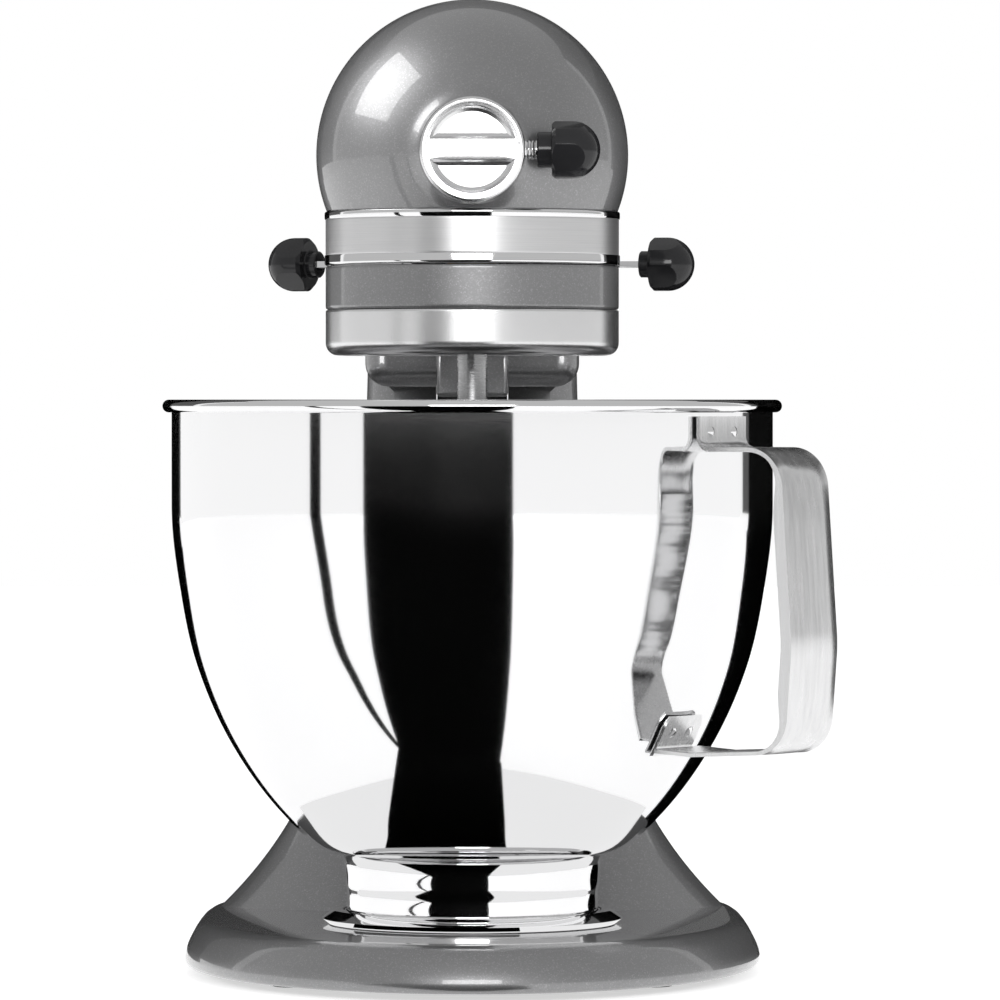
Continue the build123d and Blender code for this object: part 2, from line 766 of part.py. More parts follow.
with BuildPart() as drip_ring:
    with BuildSketch(Plane.XZ):
        with BuildLine():
            ring_out = plan_radius + housing_offset
            ring_round = 4.5
            Line((ring_out - 3.5, housing_z - 0.1), (ring_out, housing_z - 0.1))
            Line((ring_out, housing_z - 0.1), (ring_out, ring_z + ring_round))
            ThreePointArc(
                (ring_out, ring_z + ring_round),
                (ring_out - ring_round * (1 - sqrt(0.5)), ring_z + ring_round * (1 - sqrt(0.5))),
                (ring_out - ring_round, ring_z),
            )
            Line((ring_out - ring_round, ring_z), (ring_out - ring_round, ring_z + 1.2))
            ThreePointArc(
                (ring_out - ring_round, ring_z + 1.2),
                (ring_out - 3.7, ring_z + 2.6), (ring_out - 3.5, ring_z + ring_round),
            )
            Line((ring_out - 3.5, ring_z + ring_round), (ring_out - 3.5, housing_z - 0.1))
        make_face()
    revolve(axis=Axis.Z)
save(drip_ring.part, "drip_ring")


# ---- gears ------------------------------------------------------------------
def tooth_points(teeth, tip, root, half, first_angle):
    """Corner points of a wheel with straight-flanked teeth.

    tip and root are over the pitch circle, and half is half the tooth at the
    pitch circle, all in modules.
    """
    pitch = gear_module * teeth / 2
    flank = tan(radians(20))
    points = []
    for tooth in range(teeth):
        middle = radians(first_angle) + 2 * pi * tooth / teeth
        for radial, side in ((-root, -1), (tip, -1), (tip, 1), (-root, 1)):
            radius = pitch + radial * gear_module
            angle = middle + side * (half - radial * flank) * gear_module / radius
            points.append((radius * cos(angle), radius * sin(angle)))
    return points


tooth_half = tooth_share * pi / 2
space_half = (1 - tooth_share) * pi / 2
ring_gear_z = housing_z
pinion_z = housing_z + 0.8
pinion_height = ring_gear_height - 1.6

with BuildPart() as ring_gear:
    with BuildSketch(Plane.XY.offset(ring_gear_z)):
        Circle(ring_gear_radius)
        with BuildLine():
            Polyline(*tooth_points(ring_teeth, dedendum, addendum, space_half, 90), close=True)
        make_face(mode=Mode.SUBTRACT)
    extrude(amount=ring_gear_height)
save(ring_gear.part, "ring_gear")

with BuildPart() as centre_bush:
    with BuildSketch(Plane.XY.offset(band_z - ceiling)):
        Circle(bush_radius)
        Circle(centre_shaft_radius + running_gap, mode=Mode.SUBTRACT)
    extrude(amount=ceiling + 2)
save(centre_bush.part, "centre_bush")

# ---- planetary --------------------------------------------------------------
planet_radius = plan_radius + housing_offset - 3.5 - 0.7
planet_z = housing_z - 2.4 - planet_thickness
drive_pin_radius = 2.0
drive_pin_z = planet_z + 5.0
shaft_bottom = planet_z - 1.0
centre_gear_z = band_z + 5.5
centre_gear_height = 8.0
cone_point_z = head_axis_z
cone_big = 20.0
cone_small = 12.0
shaft_top = cone_point_z - cone_small - 1.0

with BuildPart() as planetary_disc:
    with BuildSketch(Plane.XY.offset(planet_z)):
        Circle(planet_radius)
    extrude(amount=planet_thickness)
    with BuildSketch(Plane.XY.offset(planet_z + planet_thickness)):
        Circle(12)
    extrude(amount=4)
    with BuildSketch(Plane.XY.offset(planet_z)):
        Circle(centre_shaft_radius + press_gap)
        with Locations((0, orbit)):
            Circle(beater_shaft_radius + running_gap)
    extrude(amount=planet_thickness + 5, mode=Mode.SUBTRACT)
    with BuildSketch(Plane.YZ.offset(-planet_radius - 1)):
        with Locations((0, drive_pin_z)):
            Circle(drive_pin_radius + press_gap)
    extrude(amount=planet_radius + 16, mode=Mode.SUBTRACT)
save(planetary_disc.part, "planetary_disc")

with BuildPart() as centre_shaft:
    with BuildSketch(Plane.XY.offset(shaft_bottom)):
        Circle(centre_shaft_radius)
    extrude(amount=shaft_top - shaft_bottom)
    with BuildSketch(Plane.YZ.offset(-centre_shaft_radius - 1)):
        with Locations((0, drive_pin_z)):
            Circle(drive_pin_radius + press_gap)
    extrude(amount=2 * centre_shaft_radius + 2, mode=Mode.SUBTRACT)
    with BuildSketch(Plane.XY.offset(band_z + 2.6)):
        Circle(centre_shaft_radius + 1)
        Circle(centre_shaft_radius - 1, mode=Mode.SUBTRACT)
    extrude(amount=1.2, mode=Mode.SUBTRACT)
save(centre_shaft.part, "centre_shaft")

with BuildPart() as drive_pin:
    with BuildSketch(Plane.YZ.offset(-20)):
        with Locations((0, drive_pin_z)):
            Circle(drive_pin_radius)
    extrude(amount=34)
save(drive_pin.part, "drive_pin")

with BuildPart() as shaft_clip:
    with BuildSketch(Plane.XY.offset(band_z + 2.65)):
        Circle(centre_shaft_radius + 3)
        Circle(centre_shaft_radius - 0.95, mode=Mode.SUBTRACT)
        with Locations((0, 8)):
            Rectangle(6, 16, mode=Mode.SUBTRACT)
    extrude(amount=1.1)
save(shaft_clip.part, "shaft_clip")

with BuildPart() as centre_gear:
    with BuildSketch(Plane.XY.offset(centre_gear_z)):
        with BuildLine():
            Polyline(*tooth_points(centre_teeth, addendum, dedendum, tooth_half, 0), close=True)
        make_face()
    extrude(amount=centre_gear_height)
    with BuildSketch(Plane.XZ):
        with BuildLine():
            cone_gap = 0.4
            Polyline(
                (0, centre_gear_z), (cone_small, centre_gear_z),
                (cone_big - 4, cone_point_z - cone_big - 4), (cone_big, cone_point_z - cone_big - cone_gap),
                (cone_small, cone_point_z - cone_small - cone_gap),
                (0, cone_point_z - cone_small - cone_gap), (0, centre_gear_z),
            )
        make_face()
    revolve(axis=Axis.Z)
    with BuildSketch(Plane.XY.offset(centre_gear_z)):
        Circle(centre_shaft_radius + press_gap)
    extrude(amount=60, mode=Mode.SUBTRACT)
save(centre_gear.part, "centre_gear")

# ---- beater shaft -----------------------------------------------------------
beater_bottom = tongue_z - 31.0
cross_pin_z = beater_bottom + 8.0

with BuildPart() as beater_shaft:
    with BuildSketch(Plane.XY.offset(beater_bottom)):
        with Locations((0, orbit)):
            Circle(beater_shaft_radius)
    extrude(amount=pinion_z + pinion_height - beater_bottom)
    chamfer(beater_shaft.edges().group_by(Axis.Z)[0], 0.8)
    with BuildSketch(Plane.YZ.offset(-beater_shaft_radius - 1)):
        with Locations((orbit, cross_pin_z)):
            Circle(drive_pin_radius + press_gap)
    extrude(amount=2 * beater_shaft_radius + 2, mode=Mode.SUBTRACT)
save(beater_shaft.part, "beater_shaft")

with BuildPart() as beater_cross_pin:
    with BuildSketch(Plane.YZ.offset(-10.5)):
        with Locations((orbit, cross_pin_z)):
            Circle(drive_pin_radius)
    extrude(amount=21)
save(beater_cross_pin.part, "beater_cross_pin")

with BuildPart() as beater_pinion:
    with BuildSketch(Plane.XY.offset(pinion_z)):
        with BuildLine():
            corners = tooth_points(pinion_teeth, addendum, dedendum, tooth_half, 90)
            Polyline(*[(x, y + orbit) for x, y in corners], close=True)
        make_face()
        with Locations((0, orbit)):
            Circle(beater_shaft_radius + press_gap, mode=Mode.SUBTRACT)
    extrude(amount=pinion_height)
save(beater_pinion.part, "beater_pinion")

# ---- worm wheel shaft -------------------------------------------------------
wheel_shaft_top = head_axis_z + 12.0
wheel_height = 13.0
wheel_radius = wheel_offset - worm_radius - 0.5
wheel_teeth = 36
mesh_angle = degrees(atan2(wheel_y, wheel_offset)) + 180 + 180 / pinion_teeth

with BuildPart() as worm_wheel_shaft:
    with BuildSketch(Plane.XY.offset(band_z - ceiling + 0.3)):
        with Locations((wheel_offset, wheel_y)):
            Circle(wheel_shaft_radius)
    extrude(amount=wheel_shaft_top - band_z + ceiling - 0.3)
    with BuildSketch(Plane.XY.offset(centre_gear_z)):
        with BuildLine():
            corners = tooth_points(pinion_teeth, addendum, dedendum, tooth_half, mesh_angle)
            Polyline(*[(x + wheel_offset, y + wheel_y) for x, y in corners], close=True)
        make_face()
    extrude(amount=centre_gear_height)
save(worm_wheel_shaft.part, "worm_wheel_shaft")

with BuildPart() as worm_wheel:
    with BuildSketch(Plane.XY.offset(head_axis_z - wheel_height / 2)):
        with Locations((wheel_offset, wheel_y)):
            Circle(wheel_radius)
            with PolarLocations(wheel_radius, wheel_teeth):
                Rectangle(2.4, 1.4, mode=Mode.SUBTRACT)
        with Locations((wheel_offset, wheel_y)):
            Circle(wheel_shaft_radius + press_gap, mode=Mode.SUBTRACT)
    extrude(amount=wheel_height)
save(worm_wheel.part, "worm_wheel")

# ---- armature ---------------------------------------------------------------
armature_shaft_radius = 4.0
worm_front_y = wheel_y - 18
worm_rear_y = wheel_y + 18
armature_rear_y = 206.0
core_radius = stator_bore - 1.2
slots = 12


def on_shaft(y):
    """Upright sketch plane on the head's axis, facing the rear."""
    return Plane(origin=(0, y, head_axis_z), x_dir=(-1, 0, 0), z_dir=(0, 1, 0))


with BuildPart() as armature_shaft:
    with BuildSketch(on_shaft(worm_front_y)):
        Circle(armature_shaft_radius)
    extrude(amount=armature_rear_y - worm_front_y)
    thread_turns = 9
    with BuildSketch(Plane.YZ):
        with BuildLine():
            thread_pitch = (worm_rear_y - worm_front_y) / thread_turns
            outline = [(worm_front_y, 0)]
            for turn in range(thread_turns):
                start = worm_front_y + turn * thread_pitch
                outline += [
                    (start, worm_radius - 1.6), (start + thread_pitch * 0.3, worm_radius),
                    (start + thread_pitch * 0.7, worm_radius),
                ]
            outline += [(worm_rear_y, worm_radius - 1.6), (worm_rear_y, 0)]
            Polyline(*[(y, head_axis_z + r) for y, r in outline], close=True)
        make_face()
    revolve(axis=Axis((0, 0, head_axis_z), (0, 1, 0)))
save(armature_shaft.part, "armature_shaft")

with BuildPart() as armature_core:
    with BuildSketch(on_shaft(stator_y)):
        Circle(core_radius)
        with PolarLocations(core_radius, slots):
            Rectangle(8, 2.2, mode=Mode.SUBTRACT)
        Circle(armature_shaft_radius + press_gap, mode=Mode.SUBTRACT)
    extrude(amount=stator_length)
save(armature_core.part, "armature_core")

commutator_radius = 11.0
with BuildPart() as commutator:
    with BuildSketch(on_shaft(brush_y - 7)):
        Circle(commutator_radius)
        with PolarLocations(commutator_radius, 2 * slots):
            Rectangle(1.6, 0.5, mode=Mode.SUBTRACT)
        Circle(armature_shaft_radius + press_gap, mode=Mode.SUBTRACT)
    extrude(amount=14)
save(commutator.part, "commutator")

fan_y = 96.0
with BuildPart() as cooling_fan:
    with BuildSketch(on_shaft(fan_y)):
        Circle(30)
        Circle(armature_shaft_radius + press_gap, mode=Mode.SUBTRACT)
    extrude(amount=1.5)
    with BuildSketch(on_shaft(fan_y + 1.5)):
        with PolarLocations(19, 9):
            Rectangle(18, 1.6)
        Circle(9)
        Circle(armature_shaft_radius + press_gap, mode=Mode.SUBTRACT)
    extrude(amount=7)
save(cooling_fan.part, "cooling_fan")

with BuildPart() as motor_stator:
    with BuildSketch(on_shaft(stator_y)):
        Circle(stator_radius)
        Circle(stator_bore, mode=Mode.SUBTRACT)
    extrude(amount=stator_length)
save(motor_stator.part, "motor_stator")


def bearing_stand(name, y, width, thickness, floor_z):
    """Upright bracket that carries the armature shaft."""
    with BuildPart() as stand:
        with BuildSketch(on_shaft(y)):
            with Locations((0, (floor_z - head_axis_z) / 2)):
                Rectangle(width, head_axis_z - floor_z)
            Circle(width / 2)
            Circle(armature_shaft_radius + running_gap, mode=Mode.SUBTRACT)
        extrude(amount=thickness)
    save(stand.part, name)


bearing_stand("front_bearing_bracket", worm_rear_y + 4.0, 20.0, 8.0, band_z)
bearing_stand("rear_bearing_bracket", 192.0, 22.0, 6.0, housing_z + housing_wall)


def shell_half_width(y):
    return head_radius * (1 - (y / head_length) ** head_taper) ** (1 / head_taper)


brush_out = shell_half_width(brush_y) - shell_wall - 1.5

with BuildPart() as brush_holders:
    for side in (-1, 1):
        with BuildSketch(Plane.YZ.offset(side * (commutator_radius + 0.4))):
            with Locations((brush_y, head_axis_z)):
                Circle(5)
        extrude(amount=side * (brush_out - commutator_radius - 0.4))
save(brush_holders.part, "brush_holders")

with BuildPart() as brush_caps:
    for side in (-1, 1):
        with BuildSketch(Plane.YZ.offset(side * brush_out)):
            with Locations((brush_y, head_axis_z)):
                Circle(brush_cap_radius)
        extrude(amount=side * (shell_wall + 2.6))
        with BuildSketch(Plane.YZ.offset(side * (brush_out + shell_wall + 1.6))):
            with Locations((brush_y, head_axis_z)):
                Rectangle(9, 1.6)
        extrude(amount=side * 2, mode=Mode.SUBTRACT)
save(brush_caps.part, "brush_caps")

# ---- hub --------------------------------------------------------------------
with BuildPart() as hub_gear:
    with BuildSketch(on_shaft(hub_back_y - 3)):
        Circle(hub_shaft_radius)
    extrude(amount=-cone_big - hub_back_y + 3)
    with BuildSketch(Plane.YZ):
        with BuildLine():
            Polyline(
                (-cone_big - 3, head_axis_z), (-cone_big - 3, head_axis_z + cone_big - 5),
                (-cone_big - cone_gap, head_axis_z + cone_big),
                (-cone_small - cone_gap, head_axis_z + cone_small),
                (-cone_small - cone_gap, head_axis_z), (-cone_big - 3, head_axis_z),
            )
        make_face()
    revolve(axis=Axis((0, 0, head_axis_z), (0, 1, 0)))
    with BuildSketch(on_shaft(hub_back_y - 3)):
        Rectangle(8.2, 8.2)
    extrude(amount=12, mode=Mode.SUBTRACT)
save(hub_gear.part, "hub_gear")

cover_radius = 18.55
cover_face = 3.7
with BuildPart() as hub_cover:
    with BuildSketch(Plane.XZ.offset(-hub_face_y + seat_gap)):
        with Locations((0, head_axis_z)):
            Circle(cover_radius)
    extrude(amount=cover_face)
    fillet(hub_cover.edges().group_by(Axis.Y)[0], 1.0)
    recess_half = 7.2
    bar_half = 3.35
    with BuildSketch(Plane.XZ.offset(-hub_face_y + seat_gap + cover_face)):
        with Locations((0, head_axis_z)):
            Circle(cover_radius - 2.2)
        with Locations((0, head_axis_z)):
            Rectangle(60, 2 * bar_half, mode=Mode.SUBTRACT)
        with Locations((0, head_axis_z + 25), (0, head_axis_z - 25)):
            Rectangle(60, 50 - 2 * (recess_half + 9), mode=Mode.SUBTRACT)
    extrude(amount=-2.2, mode=Mode.SUBTRACT)
    with BuildSketch(Plane.XZ.offset(-hub_face_y + seat_gap)):
        with Locations((0, head_axis_z)):
            Circle(hub_bore - 0.08)
            Circle(hub_bore - 2.5, mode=Mode.SUBTRACT)
    extrude(amount=-14)
save(hub_cover.part, "hub_cover")


def ball_knob(plane, collar, collar_radius, body_radius, body_length, flat_reach, hole_radius, hole_depth):
    """Moulded knob: collar, round body with four flats and a domed end, along the plane's normal."""
    with BuildPart(plane) as knob:
        with BuildSketch(Plane.XZ):
            with BuildLine():
                Polyline(
                    (0, 0), (collar_radius, 0), (collar_radius, collar), (body_radius, collar + 1.2),
                    (body_radius, collar + body_length - body_radius),
                )
                RadiusArc(
                    (body_radius, collar + body_length - body_radius), (0, collar + body_length), -body_radius
                )
                Line((0, collar + body_length), (0, 0))
            make_face()
        revolve(axis=Axis.Z)
        for quarter in range(4):
            turn = radians(18 + 90 * quarter)
            flat = Plane(
                origin=(flat_reach * cos(turn), flat_reach * sin(turn), collar),
                x_dir=(0, 0, 1), z_dir=(cos(turn), sin(turn), 0),
            )
            with BuildSketch(flat):
                Rectangle(100, 60)
            extrude(amount=20, mode=Mode.SUBTRACT)
        with BuildSketch(Plane.XY):
            Circle(hole_radius)
        extrude(amount=hole_depth, mode=Mode.SUBTRACT)
    return knob.part


hub_knob_x = 22.9
hub_screw_in = hub_bore + 0.4
with BuildPart() as hub_screw:
    with BuildSketch(Plane.YZ.offset(hub_screw_in)):
        with Locations((knob_y, head_axis_z)):
            Circle(hub_screw_radius)
    extrude(amount=hub_knob_x + 8 - hub_screw_in)
save(hub_screw.part, "hub_screw")

hub_knob_part = ball_knob(
    Plane.XY, 5.1, 6.35, 10.3, 17.1, 10.3 * 0.887, hub_screw_radius + press_gap, 8.1
)
hub_knob_part = Location(
    Plane(origin=(hub_knob_x, knob_y, head_axis_z), x_dir=(0, 1, 0), z_dir=(1, 0, 0))
) * hub_knob_part
save(hub_knob_part, "hub_knob")


# ---- levers -----------------------------------------------------------------
def lever_set(name, pivot, rest, collar_start, knob_length):
    """Flat lever on its pivot, pointing along rest, and the knob on its end."""
    collar = 4.2
    direction = (cos(rest), sin(rest))
    with BuildPart() as strip:
        with BuildSketch(Plane(origin=(pivot[0], pivot[1], lever_z), x_dir=(direction[0], direction[1], 0))):
            Circle(6.5)
            with Locations((collar_start / 2, 0)):
                Rectangle(collar_start, 2 * lever_half_width)
            with Locations((collar_start + 4, 0)):
                Rectangle(8, 4.4)
            Circle(2.5 + running_gap, mode=Mode.SUBTRACT)
        extrude(amount=lever_thickness)
    save(strip.part, name + "_lever")
    knob = ball_knob(Plane.XY, collar, 4.9, 9.9, knob_length, 8.7, 2.6, 8.2)
    start = (
        pivot[0] + collar_start * direction[0], pivot[1] + collar_start * direction[1],
        lever_z + lever_thickness / 2,
    )
    placed = Location(
        Plane(origin=start, x_dir=(-direction[1], direction[0], 0), z_dir=(direction[0], direction[1], 0))
    ) * knob
    save(placed, name + "_knob")


lever_set("speed", speed_pivot, speed_rest, 40.0, 16.0)
lever_set("lock", lock_pivot, lock_rest, 33.0, 16.0)

with BuildPart() as lever_pivots:
    with BuildSketch(Plane.XY.offset(band_z - ceiling + 0.1)):
        with Locations(speed_pivot, lock_pivot):
            Circle(2.5)
    extrude(amount=ceiling + lever_thickness + 1.2)
    with BuildSketch(Plane.XY.offset(lever_z + lever_thickness + 0.45)):
        with Locations(speed_pivot, lock_pivot):
            Circle(4.5)
    extrude(amount=1.6)
save(lever_pivots.part, "lever_pivots")

# ---- cord gland ---------------------------------------------------------------
gland_flange = 7.0
gland_inside_y = head_length - shell_wall - 0.9
with BuildPart() as cord_gland:
    with BuildSketch(on_shaft(gland_inside_y)):
        Circle(gland_flange)
    extrude(amount=-2.4)
    with BuildSketch(on_shaft(gland_inside_y)):
        Circle(gland_radius)
    extrude(amount=shell_wall + 2.4)
    with BuildSketch(on_shaft(gland_inside_y - 5)):
        Circle(gland_radius - 1.2)
    extrude(amount=20, mode=Mode.SUBTRACT)
save(cord_gland.part, "cord_gland")
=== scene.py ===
"""Looks of a tilt-head stand mixer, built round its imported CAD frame."""

import json
from math import acos, asin, atan2, cos, degrees, exp, hypot, pi, radians, sin, sqrt, tan

import bmesh
import bpy
from bpy.props import FloatProperty, FloatVectorProperty, IntProperty, PointerProperty
from mathutils import Matrix, Vector

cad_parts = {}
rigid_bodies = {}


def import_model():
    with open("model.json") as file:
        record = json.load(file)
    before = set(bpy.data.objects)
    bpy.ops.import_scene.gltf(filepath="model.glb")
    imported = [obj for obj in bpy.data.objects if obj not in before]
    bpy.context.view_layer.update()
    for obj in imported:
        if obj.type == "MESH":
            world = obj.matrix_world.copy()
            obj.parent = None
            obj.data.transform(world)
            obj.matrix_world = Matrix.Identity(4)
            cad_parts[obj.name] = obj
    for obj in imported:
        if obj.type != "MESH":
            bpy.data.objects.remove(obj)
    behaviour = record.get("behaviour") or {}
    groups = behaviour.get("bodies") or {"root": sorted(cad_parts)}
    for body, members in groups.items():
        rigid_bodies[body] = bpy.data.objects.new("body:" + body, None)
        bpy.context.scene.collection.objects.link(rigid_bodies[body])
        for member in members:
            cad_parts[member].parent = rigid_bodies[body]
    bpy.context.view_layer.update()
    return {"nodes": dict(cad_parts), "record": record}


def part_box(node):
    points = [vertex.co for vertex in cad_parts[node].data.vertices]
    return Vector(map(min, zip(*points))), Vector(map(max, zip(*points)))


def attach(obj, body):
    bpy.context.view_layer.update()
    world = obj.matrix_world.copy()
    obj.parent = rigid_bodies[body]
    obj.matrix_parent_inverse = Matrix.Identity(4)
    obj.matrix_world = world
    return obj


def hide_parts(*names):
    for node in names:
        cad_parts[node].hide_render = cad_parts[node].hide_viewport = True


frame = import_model()

bl_info = {
    "name": "Stand mixer",
    "version": (1, 0, 0),
    "blender": (4, 5, 0),
    "location": "View3D > Sidebar > Mixer",
    "description": "Builds the visible pieces and finishes of a tilt-head stand mixer",
    "category": "Object",
}

# ---- sizes, in millimetres, read from the frame ---------------------------------


def low(node):
    return [value * 1000 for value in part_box(node)[0]]


def high(node):
    return [value * 1000 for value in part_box(node)[1]]


HEAD_AXIS = (low("hub_cover")[2] + high("hub_cover")[2]) / 2
HEAD_RADIUS = high("head_shell")[2] - HEAD_AXIS
HEAD_LENGTH = high("rear_cover")[1]
HEAD_TAPER = 2.6
BAND_TOP = high("trim_band")[2]
BAND_LOW = low("trim_band")[2]
RING_TOP = high("drip_ring")[2]
RING_LOW = low("drip_ring")[2]
SEAM_Z = BAND_TOP + 0.3
PLAN_RADIUS = high("drip_ring")[0] - 0.3
PLAN_LENGTH = high("trim_band")[1] - 0.7
COVER_FRONT = low("hub_cover")[1]
HUB_FACE_Y = low("head_shell")[1]
HUB_RADIUS = 18.6
HUB_BORE = 15.0
BOWL_RIM = high("bowl_shell")[0]
BOWL_RADIUS = BOWL_RIM - 3.3
BOWL_TOP = high("bowl_shell")[2]
BOWL_LOW = low("bowl_shell")[2]
WALL_TOP = BOWL_TOP - 2.3
CURVE_TOP = WALL_TOP - 36.0
FOOT_LOW = low("bowl_foot_ring")[2]
FOOT_RADIUS = 45.3
CLAMP_RADIUS = high("bowl_clamp_plate")[0]
CLAMP_LOW = low("bowl_clamp_plate")[2]
CLAMP_TOP = high("bowl_clamp_plate")[2]
BASE_LOW = low("base_casting")[2]
BASE_TOP = high("base_casting")[2]
BASE_HALF = high("base_casting")[0]
BASE_FRONT = low("base_casting")[1]
BASE_REAR = high("base_casting")[1]
BASE_CENTRE = 30.0
HINGE_Y = (low("hinge_pin")[1] + high("hinge_pin")[1]) / 2
HINGE_Z = (low("hinge_pin")[2] + high("hinge_pin")[2]) / 2
PRONG_HALF = high("hinge_pin")[0] + 0.6
PRONG_RADIUS = high("pedestal_column")[2] - HINGE_Z
SLOT_HALF = 13.7
SLOT_FLOOR = HINGE_Z - PRONG_RADIUS - 3.0


# ---- settings a user would change --------------------------------------------------

class FinishSettings(bpy.types.PropertyGroup):
    enamel: FloatVectorProperty(
        name="Enamel", description="Colour of the metallic enamel", subtype="COLOR", size=4,
        min=0, max=1, default=(0.26, 0.26, 0.264, 1.0),
    )
    flake: FloatProperty(
        name="Flake size", description="Width of one metal flake in the enamel",
        default=0.00035, unit="LENGTH",
    )
    steel: FloatVectorProperty(
        name="Steel", description="Colour of the polished steel", subtype="COLOR", size=4,
        min=0, max=1, default=(0.86, 0.86, 0.865, 1.0),
    )
    plastic: FloatVectorProperty(
        name="Plastic", description="Colour of the moulded knobs", subtype="COLOR", size=4,
        min=0, max=1, default=(0.012, 0.012, 0.013, 1.0),
    )


class ShapeSettings(bpy.types.PropertyGroup):
    turn_steps: IntProperty(
        name="Turning steps", description="Facets round a turned piece", default=160, min=24, max=256,
    )
    collar_round: FloatProperty(
        name="Hub collar blend", description="Radius of the blend between hub collar and head",
        default=0.004, unit="LENGTH",
    )
    polished_top: FloatProperty(
        name="Upper bright strip", description="Height of the bright strip along the band's top",
        default=0.0028, unit="LENGTH",
    )
    polished_low: FloatProperty(
        name="Lower bright strip", description="Height of the bright strip along the band's foot",
        default=0.0037, unit="LENGTH",
    )


class StudioSettings(bpy.types.PropertyGroup):
    distance: FloatProperty(
        name="Camera distance", description="From the bowl axis to the camera",
        default=2.6, unit="LENGTH",
    )
    height: FloatProperty(
        name="Camera height", description="Height of the camera over the table", default=0.2083, unit="LENGTH",
    )
    focal: FloatProperty(name="Focal length", description="Lens in millimetres", default=259.6)
    sky: FloatProperty(name="Fill", description="Strength of the surrounding light", default=0.55)
    key: FloatProperty(name="Key", description="Power of the main softbox in watts", default=26.0)


def finish_settings():
    return bpy.context.scene.mixer_finish


def shape_settings():
    return bpy.context.scene.mixer_shape


def studio_settings():
    return bpy.context.scene.mixer_studio


# ---- shader helpers ----------------------------------------------------------------

class Wire:
    """A node's output that can be used in plain arithmetic."""

    def __init__(self, tree, socket):
        self.tree = tree
        self.socket = socket

    def maths(self, operation, first, second):
        node = self.tree.nodes.new("ShaderNodeMath")
        node.operation = operation
        for place, value in enumerate((first, second)):
            if isinstance(value, Wire):
                self.tree.links.new(value.socket, node.inputs[place])
            else:
                node.inputs[place].default_value = value
        return Wire(self.tree, node.outputs[0])

    def __add__(self, other):
        return self.maths("ADD", self, other)

    def __radd__(self, other):
        return self.maths("ADD", other, self)

    def __sub__(self, other):
        return self.maths("SUBTRACT", self, other)

    def __rsub__(self, other):
        return self.maths("SUBTRACT", other, self)

    def __mul__(self, other):
        return self.maths("MULTIPLY", self, other)

    def __rmul__(self, other):
        return self.maths("MULTIPLY", other, self)

    def __pow__(self, other):
        return self.maths("POWER", self, other)


class Finish:
    """A material whose nodes are made one by one around its main shader."""

    def __init__(self, name):
        self.material = bpy.data.materials.new(name)
        self.material.use_nodes = True
        self.tree = self.material.node_tree
        self.shader = self.tree.nodes["Principled BSDF"]

    def add(self, kind, settings=None, values=None, out=0):
        """One node: its settings first, then the values or wires of its sockets."""
        node = self.tree.nodes.new(kind)
        for key, value in (settings or {}).items():
            if key == "stops":
                ramp = node.color_ramp
                while len(ramp.elements) < len(value):
                    ramp.elements.new(1.0)
                for element, (position, level) in zip(ramp.elements, value):
                    element.position = position
                    element.color = (level, level, level, 1.0) if isinstance(level, float) else level
            else:
                setattr(node, key, value)
        for key, value in (values or {}).items():
            self.feed(node.inputs[key], value)
        return Wire(self.tree, node.outputs[out])

    def feed(self, socket, value):
        if isinstance(value, Wire):
            self.tree.links.new(value.socket, socket)
        else:
            socket.default_value = value

    def set(self, **values):
        """Sockets of the main shader, named with underscores for spaces."""
        for key, value in values.items():
            self.feed(self.shader.inputs[key.replace("_", " ")], value)

    def place(self, scale=(1, 1, 1), centre=(0, 0, 0), turn=(0, 0, 0)):
        coords = self.add("ShaderNodeTexCoord", out=3)
        return self.add(
            "ShaderNodeMapping", {"vector_type": "TEXTURE"},
            {"Vector": coords, "Location": centre, "Rotation": turn, "Scale": scale},
        )

    def noise(self, where, scale, detail=4.0, roughness=0.55):
        return self.add(
            "ShaderNodeTexNoise", {"noise_dimensions": "3D"},
            {"Vector": where, "Scale": scale, "Detail": detail, "Roughness": roughness},
        )

    def flakes(self, where, scale, out=1):
        return self.add("ShaderNodeTexVoronoi", {"feature": "F1"}, {"Vector": where, "Scale": scale}, out)

    def grey(self, wire):
        return self.add("ShaderNodeSeparateColor", None, {"Color": wire}, 0)

    def ramp(self, wire, stops):
        return self.add("ShaderNodeValToRGB", {"stops": stops}, {"Fac": wire})

    def tint(self, amount, first, second):
        return self.add(
            "ShaderNodeMix", {"data_type": "RGBA"}, {0: amount, 6: first, 7: second}, 2,
        )

    def bump(self, height, distance, strength=1.0):
        values = {"Height": height, "Distance": distance, "Strength": strength}
        return self.add("ShaderNodeBump", None, values)


def shade(colour, factor):
    return tuple(min(1.0, channel * factor) for channel in colour[:3]) + (1.0,)


# ---- finishes ----------------------------------------------------------------------

def silver_enamel():
    """Metallic enamel: fine bright flakes in a grey base, under a glossy clear coat."""
    settings = finish_settings()
    colour = tuple(settings.enamel)
    finish = Finish("silver_enamel")
    where = finish.place()
    cells = finish.flakes(where, 1 / settings.flake)
    glint = finish.grey(cells)
    sparkle = finish.ramp(glint, [(0.0, 0.0), (0.72, 0.12), (0.93, 0.5), (1.0, 1.0)])
    cloud = finish.noise(where, 900.0, 3.0)
    fine = finish.tint(sparkle, shade(colour, 0.88), shade(colour, 1.45))
    finish.set(
        Base_Color=finish.tint(cloud * 0.35, fine, shade(colour, 1.08)),
        Metallic=0.72 + glint * 0.2,
        Roughness=0.33 + cloud * 0.14,
        Normal=finish.bump(glint, 0.00003, 0.22),
        Coat_Weight=1.0,
        Coat_Roughness=0.035,
        Coat_IOR=1.5,
    )
    return finish.material


